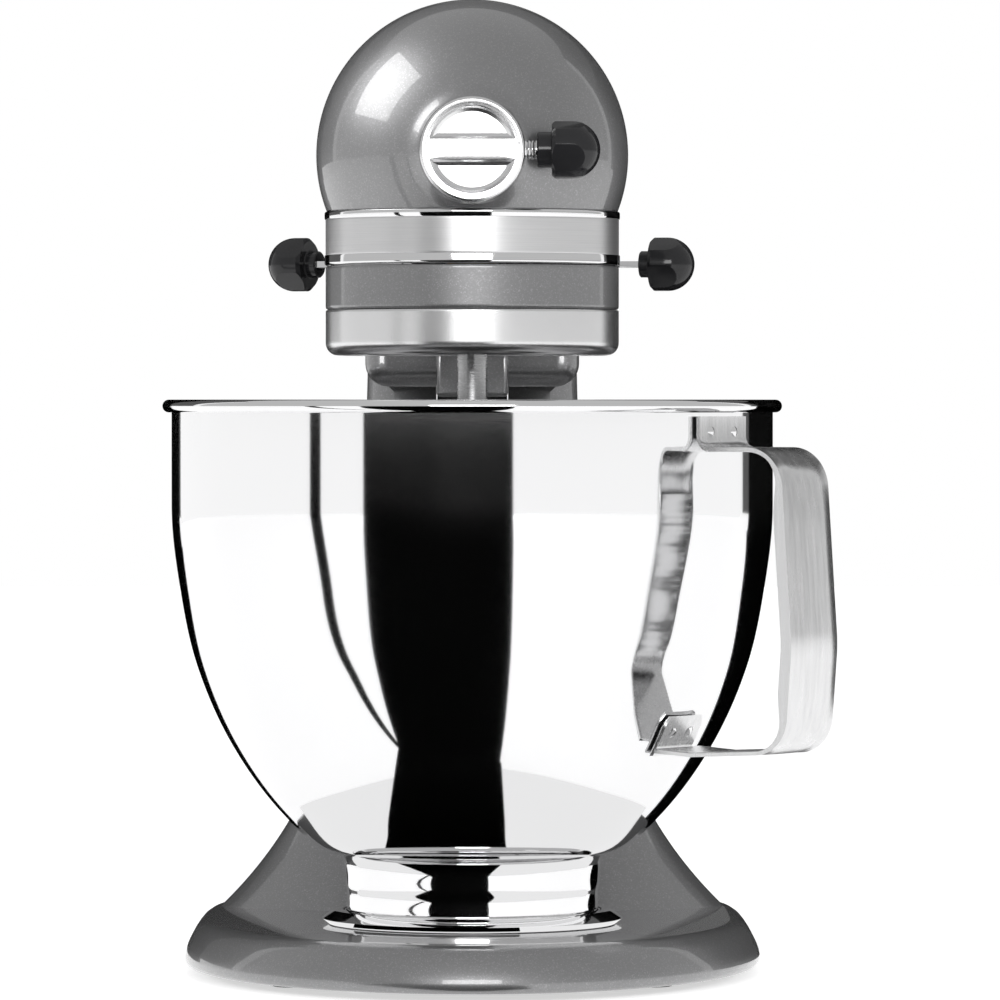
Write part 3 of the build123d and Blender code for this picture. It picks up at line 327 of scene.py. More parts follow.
def polished_steel():
    """Buffed steel: near mirror, with faint hairlines round it and handling haze."""
    colour = tuple(finish_settings().steel)
    finish = Finish("polished_steel")
    where = finish.place(scale=(1, 1, 0.02))
    lines = finish.noise(where, 60.0, 6.0, 0.7)
    haze = finish.noise(finish.place(), 14.0, 3.0)
    finish.set(
        Base_Color=finish.tint(haze, shade(colour, 0.97), colour),
        Metallic=1.0,
        Roughness=0.035 + haze * 0.03 + lines * 0.02,
        Normal=finish.bump(lines, 0.000004, 0.25),
    )
    return finish.material


def satin_steel():
    """Linished steel: soft gloss with a fine grain running round."""
    colour = tuple(finish_settings().steel)
    finish = Finish("satin_steel")
    grain = finish.noise(finish.place(scale=(1, 1, 0.03)), 260.0, 6.0, 0.7)
    haze = finish.noise(finish.place(), 25.0, 3.0)
    finish.set(
        Base_Color=finish.tint(haze, shade(colour, 0.84), shade(colour, 0.96)),
        Metallic=1.0,
        Roughness=0.16 + grain * 0.12 + haze * 0.05,
        Normal=finish.bump(grain, 0.00001, 0.35),
    )
    return finish.material


def linished_steel():
    """Darker linished steel with streaks along the strap."""
    colour = tuple(finish_settings().steel)
    finish = Finish("linished_steel")
    streak = finish.noise(finish.place(scale=(1, 1, 60)), 420.0, 5.0, 0.6)
    haze = finish.noise(finish.place(), 22.0, 3.0)
    finish.set(
        Base_Color=finish.tint(streak, shade(colour, 0.68), shade(colour, 1.02)),
        Metallic=1.0,
        Roughness=0.15 + streak * 0.16 + haze * 0.05,
        Normal=finish.bump(streak, 0.00003, 0.4),
    )
    return finish.material


def brushed_steel():
    """Band of brushed metal, the grain running round the head."""
    colour = tuple(finish_settings().steel)
    finish = Finish("brushed_steel")
    where = finish.place(scale=(1, 1, 0.006))
    grain = finish.noise(where, 22.0, 8.0, 0.75)
    wear = finish.noise(finish.place(), 30.0, 2.0)
    finish.set(
        Base_Color=finish.tint(grain, shade(colour, 0.66), shade(colour, 0.95)),
        Metallic=1.0,
        Roughness=0.24 + grain * 0.12 + wear * 0.04,
        Normal=finish.bump(grain, 0.00002, 0.5),
    )
    return finish.material


def machined_steel():
    """Turned steel: fine tool marks and a dull oily sheen."""
    finish = Finish("machined_steel")
    where = finish.place(scale=(1, 1, 0.05))
    marks = finish.noise(where, 90.0, 5.0, 0.65)
    stain = finish.noise(finish.place(), 55.0, 3.0)
    finish.set(
        Base_Color=finish.tint(stain, (0.42, 0.42, 0.425, 1), (0.62, 0.62, 0.625, 1)),
        Metallic=1.0,
        Roughness=0.2 + marks * 0.16,
        Normal=finish.bump(marks, 0.00001, 0.4),
    )
    return finish.material


def cast_aluminium():
    """Cast aluminium: pebbled skin with brighter rubbed spots."""
    finish = Finish("cast_aluminium")
    where = finish.place()
    skin = finish.noise(where, 420.0, 4.0)
    rub = finish.noise(where, 40.0, 3.0)
    finish.set(
        Base_Color=finish.tint(rub, (0.50, 0.50, 0.51, 1), (0.68, 0.68, 0.69, 1)),
        Metallic=1.0,
        Roughness=0.36 + skin * 0.2,
        Normal=finish.bump(skin, 0.00012, 0.5),
    )
    return finish.material


def moulded_plastic():
    """Black moulded plastic with a faint orange peel and rubbed gloss."""
    colour = tuple(finish_settings().plastic)
    finish = Finish("moulded_plastic")
    where = finish.place()
    peel = finish.noise(where, 700.0, 2.0)
    rub = finish.noise(where, 90.0, 3.0)
    finish.set(
        Base_Color=finish.tint(rub, colour, shade(colour, 1.8)),
        Roughness=0.1 + rub * 0.08,
        Specular_IOR_Level=0.4,
        Normal=finish.bump(peel, 0.00001, 0.3),
    )
    return finish.material


def black_rubber():
    """Matt rubber with dusty mottling."""
    finish = Finish("black_rubber")
    where = finish.place()
    dust = finish.noise(where, 160.0, 5.0)
    grit = finish.noise(where, 1500.0, 2.0)
    finish.set(
        Base_Color=finish.tint(dust, (0.015, 0.015, 0.015, 1), (0.045, 0.044, 0.042, 1)),
        Roughness=0.66 + dust * 0.2,
        Normal=finish.bump(grit, 0.00006, 0.5),
    )
    return finish.material


def gear_bronze():
    """Bronze with darker tarnish in patches."""
    finish = Finish("gear_bronze")
    where = finish.place()
    tarnish = finish.noise(where, 120.0, 4.0)
    finish.set(
        Base_Color=finish.tint(tarnish, (0.42, 0.26, 0.11, 1), (0.72, 0.50, 0.24, 1)),
        Metallic=1.0,
        Roughness=0.26 + tarnish * 0.2,
        Normal=finish.bump(tarnish, 0.00003, 0.3),
    )
    return finish.material


def laminated_iron():
    """Stacked iron sheets: fine dark lines square to the motor's axis."""
    finish = Finish("laminated_iron")
    where = finish.place()
    sheets = finish.add(
        "ShaderNodeTexWave", {"wave_type": "BANDS", "bands_direction": "Y"},
        {"Vector": where, "Scale": 320.0, "Distortion": 0.2},
    )
    level = finish.grey(sheets)
    finish.set(
        Base_Color=finish.tint(level, (0.06, 0.06, 0.062, 1), (0.21, 0.21, 0.215, 1)),
        Metallic=0.9,
        Roughness=0.45 + level * 0.15,
        Normal=finish.bump(level, 0.00008, 0.5),
    )
    return finish.material


FINISHES = {
    "silver_enamel": silver_enamel,
    "polished_steel": polished_steel,
    "satin_steel": satin_steel,
    "linished_steel": linished_steel,
    "brushed_trim": brushed_steel,
    "machined_steel": machined_steel,
    "cast_aluminium": cast_aluminium,
    "black_plastic": moulded_plastic,
    "black_rubber": black_rubber,
    "bronze": gear_bronze,
    "core_iron": laminated_iron,
}
made = {}


def finish_for(slot):
    """The material of a slot, made the first time it is asked for."""
    if slot not in made:
        made[slot] = FINISHES[slot]()
    return made[slot]


# ---- mesh helpers ------------------------------------------------------------------

def arc(centre, radius, start, end, steps):
    """Points on an arc from one angle to another, in degrees."""
    points = []
    for step in range(steps + 1):
        angle = radians(start + (end - start) * step / steps)
        points.append((centre[0] + radius * cos(angle), centre[1] + radius * sin(angle)))
    return points


def super_point(angle, half_width, front, rear, power_front, power_rear, centre_y):
    """A point of an outline made of two half superellipses; angle 0 is the front tip."""
    across = abs(sin(angle))
    along = cos(angle)
    power = power_front if along > 0 else power_rear
    reach = front if along > 0 else rear
    x = half_width * across ** (2 / power) * (1 if sin(angle) >= 0 else -1)
    y = reach * abs(along) ** (2 / power) * (-1 if along > 0 else 1)
    return x, centre_y + y


def turned(profile, axis="Z", centre=(0, 0, 0), steps=None, closed=False):
    """A solid of revolution from (radius, height) points, closed at both ends on the axis."""
    bm = bmesh.new()
    verts = []
    for radius, along in profile:
        place = (0, along, centre[2] + radius) if axis == "Y" else (centre[0] + radius, centre[1], along)
        verts.append(bm.verts.new(place))
    for first, second in zip(verts, verts[1:]):
        bm.edges.new((first, second))
    if closed:
        bm.edges.new((verts[-1], verts[0]))
    bmesh.ops.spin(
        bm, geom=bm.verts[:] + bm.edges[:], cent=centre, axis=(0, 1, 0) if axis == "Y" else (0, 0, 1),
        angle=2 * pi, steps=steps or shape_settings().turn_steps, use_merge=True,
    )
    tidy(bm)
    return bm


def tidy(bm):
    """Merges doubles and points every face outwards."""
    bmesh.ops.remove_doubles(bm, verts=bm.verts[:], dist=1e-4)
    bmesh.ops.recalc_face_normals(bm, faces=bm.faces[:])


def hold_flats(bm, smallest=150.0, edge=0.5):
    """Adds a narrow border inside large flat faces, so that they stay flat next to rounded edges."""
    large = [face for face in bm.faces if face.calc_area() > smallest]
    bmesh.ops.inset_individual(bm, faces=large, thickness=edge, use_even_offset=True)


def ringed(rings, caps=(True, True)):
    """A skin through closed rings; each ring is a list of as many points."""
    bm = bmesh.new()
    before = None
    for index, ring in enumerate(rings):
        made_ring = bmesh.ops.create_circle(bm, segments=len(ring), radius=1.0, cap_ends=False)["verts"]
        for vert, place in zip(made_ring, ring):
            vert.co = place
        edges = list({edge for vert in made_ring for edge in vert.link_edges})
        if before is not None:
            bmesh.ops.bridge_loops(bm, edges=before + edges)
        if index == 0 and caps[0] or index == len(rings) - 1 and caps[1]:
            bmesh.ops.contextual_create(bm, geom=made_ring)
        before = edges
    tidy(bm)
    return bm


def piece(name, bm, slots, body, replaced=(), sharp=35.0):
    """Turns a bmesh in millimetres into an object in metres that rides on a body."""
    bmesh.ops.scale(bm, vec=(0.001, 0.001, 0.001), verts=bm.verts[:])
    mesh = bpy.data.meshes.new(name)
    bm.to_mesh(mesh)
    bm.free()
    obj = bpy.data.objects.new(name, mesh)
    bpy.context.scene.collection.objects.link(obj)
    for slot in slots:
        mesh.materials.append(finish_for(slot))
    mesh.polygons.foreach_set("use_smooth", [True] * len(mesh.polygons))
    mesh.set_sharp_from_angle(angle=radians(sharp))
    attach(obj, body)
    if replaced:
        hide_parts(*replaced)
    return obj


def apply_modifiers(obj):
    """Bakes an object's modifiers into its mesh."""
    graph = bpy.context.evaluated_depsgraph_get()
    mesh = bpy.data.meshes.new_from_object(obj.evaluated_get(graph))
    obj.modifiers.clear()
    obj.data = mesh


def cut(obj, bm, operation="DIFFERENCE", sharp=35.0):
    """Cuts an object with a shape given in millimetres."""
    bmesh.ops.scale(bm, vec=(0.001, 0.001, 0.001), verts=bm.verts[:])
    bmesh.ops.recalc_face_normals(bm, faces=bm.faces[:])
    mesh = bpy.data.meshes.new("cutter")
    bm.to_mesh(mesh)
    bm.free()
    cutter = bpy.data.objects.new("cutter", mesh)
    bpy.context.scene.collection.objects.link(cutter)
    modifier = obj.modifiers.new("cut", "BOOLEAN")
    modifier.operation = operation
    modifier.solver = "EXACT"
    modifier.object = cutter
    apply_modifiers(obj)
    bpy.data.objects.remove(cutter)
    obj.data.set_sharp_from_angle(angle=radians(sharp))


def soften(obj, width, segments=3, angle=32.0):
    """Rounds an object's sharp edges."""
    modifier = obj.modifiers.new("rounded", "BEVEL")
    modifier.width = width * 0.001
    modifier.segments = segments
    modifier.limit_method = "ANGLE"
    modifier.angle_limit = radians(angle)
    modifier.harden_normals = False
    apply_modifiers(obj)


def block(low_corner, high_corner):
    """A box shape between two corners, used for cutting and as a blank."""
    bm = bmesh.new()
    bmesh.ops.create_cube(bm, size=1.0)
    size = [b - a for a, b in zip(low_corner, high_corner)]
    middle = [(a + b) / 2 for a, b in zip(low_corner, high_corner)]
    bmesh.ops.scale(bm, vec=size, verts=bm.verts[:])
    bmesh.ops.translate(bm, vec=middle, verts=bm.verts[:])
    return bm


def plate(outline, plane, start, end):
    """A flat outline pushed through a thickness; plane names the two axes of its points."""
    bm = bmesh.new()
    verts = []
    for first, second in outline:
        spots = {"XY": (first, second, start), "XZ": (first, start, second), "YZ": (start, first, second)}
        verts.append(bm.verts.new(spots[plane]))
    face = bm.faces.new(verts)
    pushed = bmesh.ops.extrude_face_region(bm, geom=[face])
    new = [item for item in pushed["geom"] if isinstance(item, bmesh.types.BMVert)]
    shift = {"XY": (0, 0, end - start), "XZ": (0, end - start, 0), "YZ": (end - start, 0, 0)}[plane]
    bmesh.ops.translate(bm, vec=shift, verts=new)
    tidy(bm)
    return bm


# ---- head --------------------------------------------------------------------------

OUTLINE_STEPS = 192


def head_ring(offset, z):
    """Closed plan outline of the head at a height, moved outward by offset."""
    ring = []
    for step in range(OUTLINE_STEPS):
        angle = 2 * pi * step / OUTLINE_STEPS
        radius = PLAN_RADIUS + offset
        x, y = super_point(angle, radius, radius, PLAN_LENGTH + offset, 2.0, HEAD_TAPER, 0)
        ring.append((x, y, z))
    return ring


def head_profile():
    """Half section of head and hub collar, as (radius, y), from the hub's mouth to the rear."""
    blend = shape_settings().collar_round * 1000
    points = [(HUB_BORE, HUB_FACE_Y + 0.6), (HUB_BORE + 0.6, HUB_FACE_Y)]
    points += [(HUB_RADIUS - 0.8, HUB_FACE_Y), (HUB_RADIUS - 0.2, HUB_FACE_Y + 0.25)]
    points += [(HUB_RADIUS, HUB_FACE_Y + 0.9)]
    for step in range(9):
        share = step / 8
        angle = radians(90 * share)
        radius = HUB_RADIUS + (blend + 1.5) * (1 - cos(angle))
        near = -sqrt(HEAD_RADIUS**2 - radius**2)
        points.append((radius, near - blend * (1 - sin(angle))))
    first = points[-1][0]
    start = degrees(atan2(first, sqrt(HEAD_RADIUS**2 - first**2)))
    for step in range(1, 33):
        angle = radians(start + (90 - start) * step / 32)
        points.append((HEAD_RADIUS * sin(angle), -HEAD_RADIUS * cos(angle)))
    for step in range(1, 49):
        angle = radians(90 * step / 48)
        along = HEAD_LENGTH * sin(angle) ** (2 / HEAD_TAPER)
        radius = HEAD_RADIUS * max(cos(angle), 0.0) ** (2 / HEAD_TAPER)
        points.append((radius, along))
    points[-1] = (0.0, HEAD_LENGTH)
    return points


class MIXER_OT_head(bpy.types.Operator):
    """Makes the painted head skin with its hub collar, and the skirt behind the band"""

    bl_idname = "mixer.head"
    bl_label = "Head"

    def execute(self, context):
        bm = turned(head_profile(), "Y", (0, 0, HEAD_AXIS), steps=192)
        bmesh.ops.bisect_plane(
            bm, geom=bm.verts[:] + bm.edges[:] + bm.faces[:], dist=1e-5, plane_co=(0, 0, SEAM_Z),
            plane_no=(0, 0, 1), clear_inner=True,
        )
        skin = piece("head_skin", bm, ["silver_enamel"], "head", ("head_shell", "rear_cover"), 50.0)
        bpy.data.collections["lit_by_key"].objects.link(skin)
        wall = skin.modifiers.new("wall", "SOLIDIFY")
        wall.thickness = 0.0024
        wall.offset = -1
        apply_modifiers(skin)
        skin.data.set_sharp_from_angle(angle=radians(50))
        near, far = HUB_FACE_Y + 2.5, HUB_FACE_Y + 34
        sleeve = [(HUB_BORE, near), (HUB_BORE, far), (HUB_BORE + 2.4, far), (HUB_BORE + 2.4, near)]
        bore = turned(sleeve, "Y", (0, 0, HEAD_AXIS), 96, closed=True)
        piece("hub_sleeve", bore, ["machined_steel"], "head")
        skirt = ringed(
            [head_ring(-1.5, SEAM_Z + 0.2), head_ring(-1.5, BAND_LOW), head_ring(-3.5, BAND_LOW),
             head_ring(-3.5, SEAM_Z + 0.2), head_ring(-1.5, SEAM_Z + 0.2)], (False, False),
        )
        wall = piece("head_skirt", skirt, ["cast_aluminium"], "head")
        for cutter in lever_notches(6):
            cut(wall, cutter)
        return {"FINISHED"}


def lever_notches(extra):
    """Slots that the two levers sweep, at the band's foot."""
    cutters = []
    for side, node in ((-1, "speed_lever"), (1, "lock_lever")):
        near, far = low(node), high(node)
        sweep = 34 if side < 0 else 16
        front = near[1] - sweep if side < 0 else near[1] - 2
        back = far[1] - 2 if side < 0 else far[1] + sweep
        inner = side * 40
        outer = side * 60
        cutters.append(
            block((min(inner, outer), front, BAND_LOW - 1), (max(inner, outer), back, BAND_LOW + 3.7))
        )
    return cutters


class MIXER_OT_band(bpy.types.Operator):
    """Makes the trim band: a brushed strip between two bright ones"""

    bl_idname = "mixer.band"
    bl_label = "Trim band"

    def execute(self, context):
        settings = shape_settings()
        top_split = BAND_TOP - settings.polished_top * 1000
        low_split = BAND_LOW + settings.polished_low * 1000
        section = [
            (BAND_LOW, -0.6), (BAND_LOW, 0.1), (BAND_LOW + 0.25, 0.55), (BAND_LOW + 0.7, 0.7),
            (BAND_LOW + 1.0, 0.7), (low_split - 0.5, 0.7), (low_split - 0.15, 0.62), (low_split, 0.3),
            (low_split + 0.15, 0.34), (low_split + 0.5, 0.34), (top_split - 0.5, 0.34),
            (top_split - 0.15, 0.34), (top_split, 0.3), (top_split + 0.15, 0.62), (top_split + 0.5, 0.7),
            (BAND_TOP - 1.0, 0.7), (BAND_TOP - 0.7, 0.7), (BAND_TOP - 0.2, 0.5), (BAND_TOP, 0.1),
            (BAND_TOP, -0.8),
        ]
        rings = [head_ring(offset, z) for z, offset in section]
        bm = ringed(rings + [rings[0]], (False, False))
        for face in bm.faces:
            middle = face.calc_center_median()
            bright = middle.z > top_split - 0.02 or middle.z < low_split + 0.02
            face.material_index = 1 if bright else 0
        band = piece("trim_strip", bm, ["brushed_trim", "polished_steel"], "head", ("trim_band",), 50.0)
        for cutter in lever_notches(0):
            cut(band, cutter, sharp=50.0)
        return {"FINISHED"}


class MIXER_OT_housing(bpy.types.Operator):
    """Makes the painted gear housing: its wall, the bulge under it and the hinge tongue"""

    bl_idname = "mixer.housing"
    bl_label = "Gear housing"

    def execute(self, context):
        foot = HOUSING_WALL_LOW
        section = [(foot + 3.0, -3.0), (BAND_LOW - 0.25, -3.0), (BAND_LOW - 0.25, -0.4)]
        section += [(BAND_LOW - 0.5, 0.1), (BAND_LOW - 1.1, 0.3), (BAND_LOW - 1.6, 0.3), (foot + 1.5, 0.3)]
        section += [(foot + 1.0, 0.3), (foot + 0.35, 0.05), (foot, -0.6)]
        rings = [head_ring(offset, z) for z, offset in section]
        rings += [[(x * 0.97, y * 0.985, foot) for x, y, z in head_ring(-0.6, foot)]]
        bm = ringed(rings)
        piece("housing_wall", bm, ["silver_enamel"], "head", ("lower_housing",), 50.0)
        bulge = block(
            (-BULGE_HALF, BULGE_FRONT, BULGE_LOW), (BULGE_HALF, BULGE_REAR, foot + 0.5)
        )
        edges = [edge for edge in bulge.edges if min(vert.co.z for vert in edge.verts) < foot]
        bmesh.ops.bevel(
            bulge, geom=edges, offset=8.6, segments=10, profile=0.5, affect="EDGES", material=-1
        )
        hold_flats(bulge)
        low_lit = bpy.data.collections["lit_low"].objects
        low_lit.link(piece("housing_bulge", bulge, ["silver_enamel"], "head", (), 40.0))
        tongue_low = BULGE_LOW - 3.8
        boss = 18.0
        outline = [(TONGUE_FRONT, foot + 0.5), (TONGUE_FRONT, tongue_low), (HINGE_Y - boss, tongue_low)]
        outline += arc((HINGE_Y, HINGE_Z), boss, 180, 360, 28)
        outline += [(HINGE_Y + boss, foot + 0.5)]
        tongue = plate(outline, "YZ", -TONGUE_HALF, TONGUE_HALF)
        arm = piece("hinge_tongue", tongue, ["silver_enamel"], "head", (), 40.0)
        low_lit.link(arm)
        pin_hole = turned([(0, -20), (PIN_HOLE, -20), (PIN_HOLE, 20), (0, 20)], steps=48)
        quarter = Matrix.Rotation(pi / 2, 3, "Y")
        bmesh.ops.rotate(pin_hole, cent=(0, 0, 0), matrix=quarter, verts=pin_hole.verts[:])
        bmesh.ops.translate(pin_hole, vec=(0, HINGE_Y, HINGE_Z), verts=pin_hole.verts[:])
        cut(arm, pin_hole)
        soften(arm, 1.6, 4)
        return {"FINISHED"}


PIN_HOLE = 4.8
HOUSING_WALL_LOW = RING_TOP + 0.1
BULGE_LOW = HOUSING_WALL_LOW - 27.5
BULGE_HALF = 39.5
BULGE_FRONT = 57.0
BULGE_REAR = 112.0
TONGUE_HALF = 13.2
TONGUE_FRONT = PLAN_RADIUS + 2.0


class MIXER_OT_drip_ring(bpy.types.Operator):
    """Makes the bright ring round the planetary drive"""

    bl_idname = "mixer.drip_ring"
    bl_label = "Drip ring"

    def execute(self, context):
        out = PLAN_RADIUS + 0.3
        section = [(out - 3.4, RING_TOP), (out - 0.5, RING_TOP), (out - 0.1, RING_TOP - 0.2)]
        section += [(out, RING_TOP - 0.6), (out, RING_TOP - 1.0), (out, RING_LOW + 5.0)]
        section += arc((out - 4.5, RING_LOW + 4.5), 4.5, 0, -90, 12)
        section += [(out - 4.6, RING_LOW + 0.6), (out - 4.4, RING_LOW + 1.2)]
        section += [(out - 3.7, RING_LOW + 2.6), (out - 3.4, RING_LOW + 4.6)]
        bm = turned(section, closed=True)
        piece("bright_ring", bm, ["satin_steel"], "head", ("drip_ring",), 50.0)
        return {"FINISHED"}


# ---- hub cover, knobs and levers -----------------------------------------------------

class MIXER_OT_hub_cover(bpy.types.Operator):
    """Makes the round hub cover with its two scoops and grip bar"""

    bl_idname = "mixer.hub_cover"
    bl_label = "Hub cover"

    def execute(self, context):
        back = HUB_FACE_Y - 0.2
        front = COVER_FRONT
        radius = high("hub_cover")[0]
        section = [(0, back + 14), (12.5, back + 14), (14.3, back + 14), (14.9, back + 13.4), (14.9, back)]
        section += [(radius - 0.3, back), (radius, back - 0.3), (radius, front + 1.0)]
        section += [(radius - 0.3, front + 0.3), (radius - 1.0, front), (radius - 2.0, front)]
        section += [(radius - 2.3, front + 0.35), (0, front + 0.35)]
        cover = piece(
            "hub_disc", turned(section, "Y", (0, 0, HEAD_AXIS), 128), ["satin_steel"], "hub_cover",
            ("hub_cover",), 40.0,
        )
        for side in (-1, 1):
            reach = radius - 3.0
            rings = []
            for depth, inset in ((-1.0, 0.0), (0.35, 0.0), (1.0, 0.35), (1.7, 1.0), (2.3, 2.2)):
                inner = reach - inset
                begin = degrees(asin((3.5 + inset) / inner))
                curve = arc((0, 0), inner, begin, 180 - begin, 40)
                rings.append([(x, front + depth, HEAD_AXIS + side * z) for x, z in curve])
            cut(cover, ringed(rings), sharp=12.0)
        reach = 18.0 - 1.2
        bar = ((-reach, front - 1.0, HEAD_AXIS - 1.9), (reach, front + 0.75, HEAD_AXIS + 1.9))
        cut(cover, block(*bar))
        soften(cover, 0.3, 3)
        cover.data.set_sharp_from_angle(angle=radians(14))
        return {"FINISHED"}


def knob_shape(collar, collar_radius, body_radius, body_length, flat_reach):
    """Moulded knob along +Z: collar, round body, domed end and four flats."""
    section = [(0, 0), (collar_radius - 0.4, 0), (collar_radius, 0.4), (collar_radius, collar - 0.4)]
    section += [(collar_radius + 0.5, collar), (body_radius - 1.2, collar), (body_radius, collar + 1.2)]
    straight = collar + body_length - body_radius
    section += [(radius, height) for radius, height in arc((0, straight), body_radius, 0, 90, 16)]
    bm = turned(section, steps=96)
    for quarter in range(4):
        turn = radians(18 + 90 * quarter)
        out = Vector((cos(turn), sin(turn), 0))
        cutting = bmesh.ops.bisect_plane(
            bm, geom=bm.verts[:] + bm.edges[:] + bm.faces[:], dist=1e-5, plane_co=out * flat_reach,
            plane_no=out, clear_outer=True,
        )
        rim = [item for item in cutting["geom_cut"] if isinstance(item, bmesh.types.BMEdge)]
        if rim:
            bmesh.ops.contextual_create(bm, geom=rim)
    tidy(bm)
    return bm


def aim(bm, start, direction):
    """Moves a shape made along +Z so that it starts at a point and points a given way."""
    turn = Vector((0, 0, 1)).rotation_difference(Vector(direction)).to_matrix()
    bmesh.ops.rotate(bm, cent=(0, 0, 0), matrix=turn, verts=bm.verts[:])
    bmesh.ops.translate(bm, vec=start, verts=bm.verts[:])
    return bm


class MIXER_OT_knobs(bpy.types.Operator):
    """Makes the hub's clamping knob with its screw, and the knobs of both levers"""

    bl_idname = "mixer.knobs"
    bl_label = "Knobs"

    def execute(self, context):
        near, far = low("hub_knob"), high("hub_knob")
        middle = ((near[1] + far[1]) / 2, (near[2] + far[2]) / 2)
        bm = knob_shape(5.1, 6.35, 10.3, 17.1, 10.3 * 0.887)
        aim(bm, (near[0], middle[0], middle[1]), (1, 0, 0))
        knob = piece("clamp_knob", bm, ["black_plastic"], "hub_knob", ("hub_knob",), 30.0)
        soften(knob, 0.5, 3, 20.0)
        start, end = low("hub_screw")[0], near[0] + 0.3
        section = [(0, start)]
        turns = 6
        pitch = (end - start) / turns
        for turn in range(turns):
            foot = start + turn * pitch
            section += [(3.0, foot + 0.05 * pitch), (3.45, foot + 0.4 * pitch), (3.45, foot + 0.6 * pitch)]
        section += [(3.0, end), (0, end)]
        screw = turned([(radius, height - start) for radius, height in section], steps=48)
        aim(screw, (start, middle[0], middle[1]), (1, 0, 0))
        piece("clamp_screw", screw, ["polished_steel"], "hub_knob", ("hub_screw",), 40.0)
        for name, body in (("speed", "speed_lever"), ("lock", "lock_lever")):
            lever = lever_line(name)
            bm = knob_shape(4.2, 4.9, 9.9, 16.0, 8.7)
            aim(bm, lever["knob"], lever["direction"])
            knob = piece(name + "_handle", bm, ["black_plastic"], body, (name + "_knob",), 30.0)
            soften(knob, 0.5, 3, 20.0)
        return {"FINISHED"}


# Pivot, resting angle and length of each lever up to its knob.
LEVERS = {"speed": ((-20.0, 54.8), 180 - 24.7, 40.0), "lock": ((30.0, 75.0), -12.6, 33.0)}


def lever_line(name):
    """Where a lever's knob starts and which way it points."""
    pivot, angle, reach = LEVERS[name]
    direction = (cos(radians(angle)), sin(radians(angle)), 0)
    z = (low(name + "_lever")[2] + high(name + "_lever")[2]) / 2
    start = (pivot[0] + reach * direction[0], pivot[1] + reach * direction[1], z)
    return {"knob": start, "direction": direction}


# ---- bowl ----------------------------------------------------------------------------

def bowl_profile():
    """Outer section of the bowl's wall, as (radius, z), from floor to rim."""
    depth = CURVE_TOP - BOWL_LOW
    points = []
    shape = [(0.455, 0.0), (0.622, 0.105), (0.797, 0.31), (0.915, 0.54), (0.973, 0.77), (1.0, 1.0)]
    controls = [(BOWL_RADIUS * across, BOWL_LOW + depth * up) for across, up in shape]
    return smooth_line(controls, (1, 0.12), (0, 1), 10)


def smooth_line(controls, first_way, last_way, steps):
    """A smooth line through the given points, leaving and arriving in the given ways."""
    lengths = [hypot(b[0] - a[0], b[1] - a[1]) for a, b in zip(controls, controls[1:])]
    ways = [first_way]
    for index in range(1, len(controls) - 1):
        before, after = controls[index - 1], controls[index + 1]
        across, up = after[0] - before[0], after[1] - before[1]
        ways.append((across / hypot(across, up), up / hypot(across, up)))
    ways.append(last_way)
    line = [controls[0]]
    for index, length in enumerate(lengths):
        start, end = controls[index], controls[index + 1]
        out, into = ways[index], ways[index + 1]
        for step in range(1, steps + 1):
            t = step / steps
            a, b = 2 * t**3 - 3 * t**2 + 1, t**3 - 2 * t**2 + t
            c, d = 3 * t**2 - 2 * t**3, t**3 - t**2
            line.append(tuple(
                a * start[k] + b * length * out[k] + c * end[k] + d * length * into[k] for k in (0, 1)
            ))
    return line


def shifted_line(line, gap):
    """The same line moved to its inner side."""
    moved = []
    for index, (radius, z) in enumerate(line):
        before = line[max(index - 1, 0)]
        after = line[min(index + 1, len(line) - 1)]
        across, up = after[0] - before[0], after[1] - before[1]
        size = hypot(across, up)
        moved.append((max(radius - gap * up / size, 0.0), z + gap * across / size))
    return moved


class MIXER_OT_bowl(bpy.types.Operator):
    """Makes the polished bowl with its rolled rim, and its foot ring"""

    bl_idname = "mixer.bowl"
    bl_label = "Bowl"

    def execute(self, context):
        wall = bowl_profile()
        roll = BOWL_TOP - WALL_TOP
        middle = BOWL_RIM - roll
        outer_meet = degrees(acos((BOWL_RADIUS - middle) / roll))
        inner_meet = degrees(acos((BOWL_RADIUS - 0.9 - middle) / roll))
        plain = [(CURVE_TOP + 4), (CURVE_TOP + 18), (WALL_TOP - 6), (WALL_TOP - 3)]
        outer = [(0.0, BOWL_LOW + 0.05), (BOWL_RADIUS * 0.3, BOWL_LOW)] + wall
        outer += [(BOWL_RADIUS, z) for z in plain]
        rim = arc((middle, WALL_TOP), roll, -outer_meet, inner_meet, 24)
        inner = [(BOWL_RADIUS - 0.9, z) for z in reversed(plain)] + list(reversed(shifted_line(wall, 0.9)))
        inner += [(BOWL_RADIUS * 0.3, BOWL_LOW + 0.9), (0.0, BOWL_LOW + 0.95)]
        bm = turned(outer + rim + inner, steps=192)
        piece("mixing_bowl", bm, ["polished_steel"], "bowl", ("bowl_shell",), 50.0)
        top = BOWL_LOW - 0.05
        foot_line = [(FOOT_RADIUS, FOOT_LOW + 4), (FOOT_RADIUS + 0.2, FOOT_LOW + 11), (49.0, top)]
        side = smooth_line(foot_line, (0, 1), (0.9, 0.5), 10)
        section = [(FOOT_RADIUS, FOOT_LOW)] + side + [(47.0, top)] + list(reversed(shifted_line(side, 1.5)))
        section += [(FOOT_RADIUS - 1.5, FOOT_LOW)]
        ring = turned(section, closed=True)
        piece("foot_ring", ring, ["polished_steel"], "bowl", ("bowl_foot_ring",), 40.0)
        return {"FINISHED"}


# ---- handle --------------------------------------------------------------------------

HANDLE_TURN = radians(-36.9)
STRAP_WIDTH = 28.5
STRAP = 1.6
HANDLE_TOP = WALL_TOP - 15.2
HANDLE_LOW = HANDLE_TOP - 106.0
HANDLE_OUT = BOWL_RADIUS + 40.1
GRIP_TOP = HANDLE_TOP - 16
GRIP_LOW = HANDLE_LOW + 14


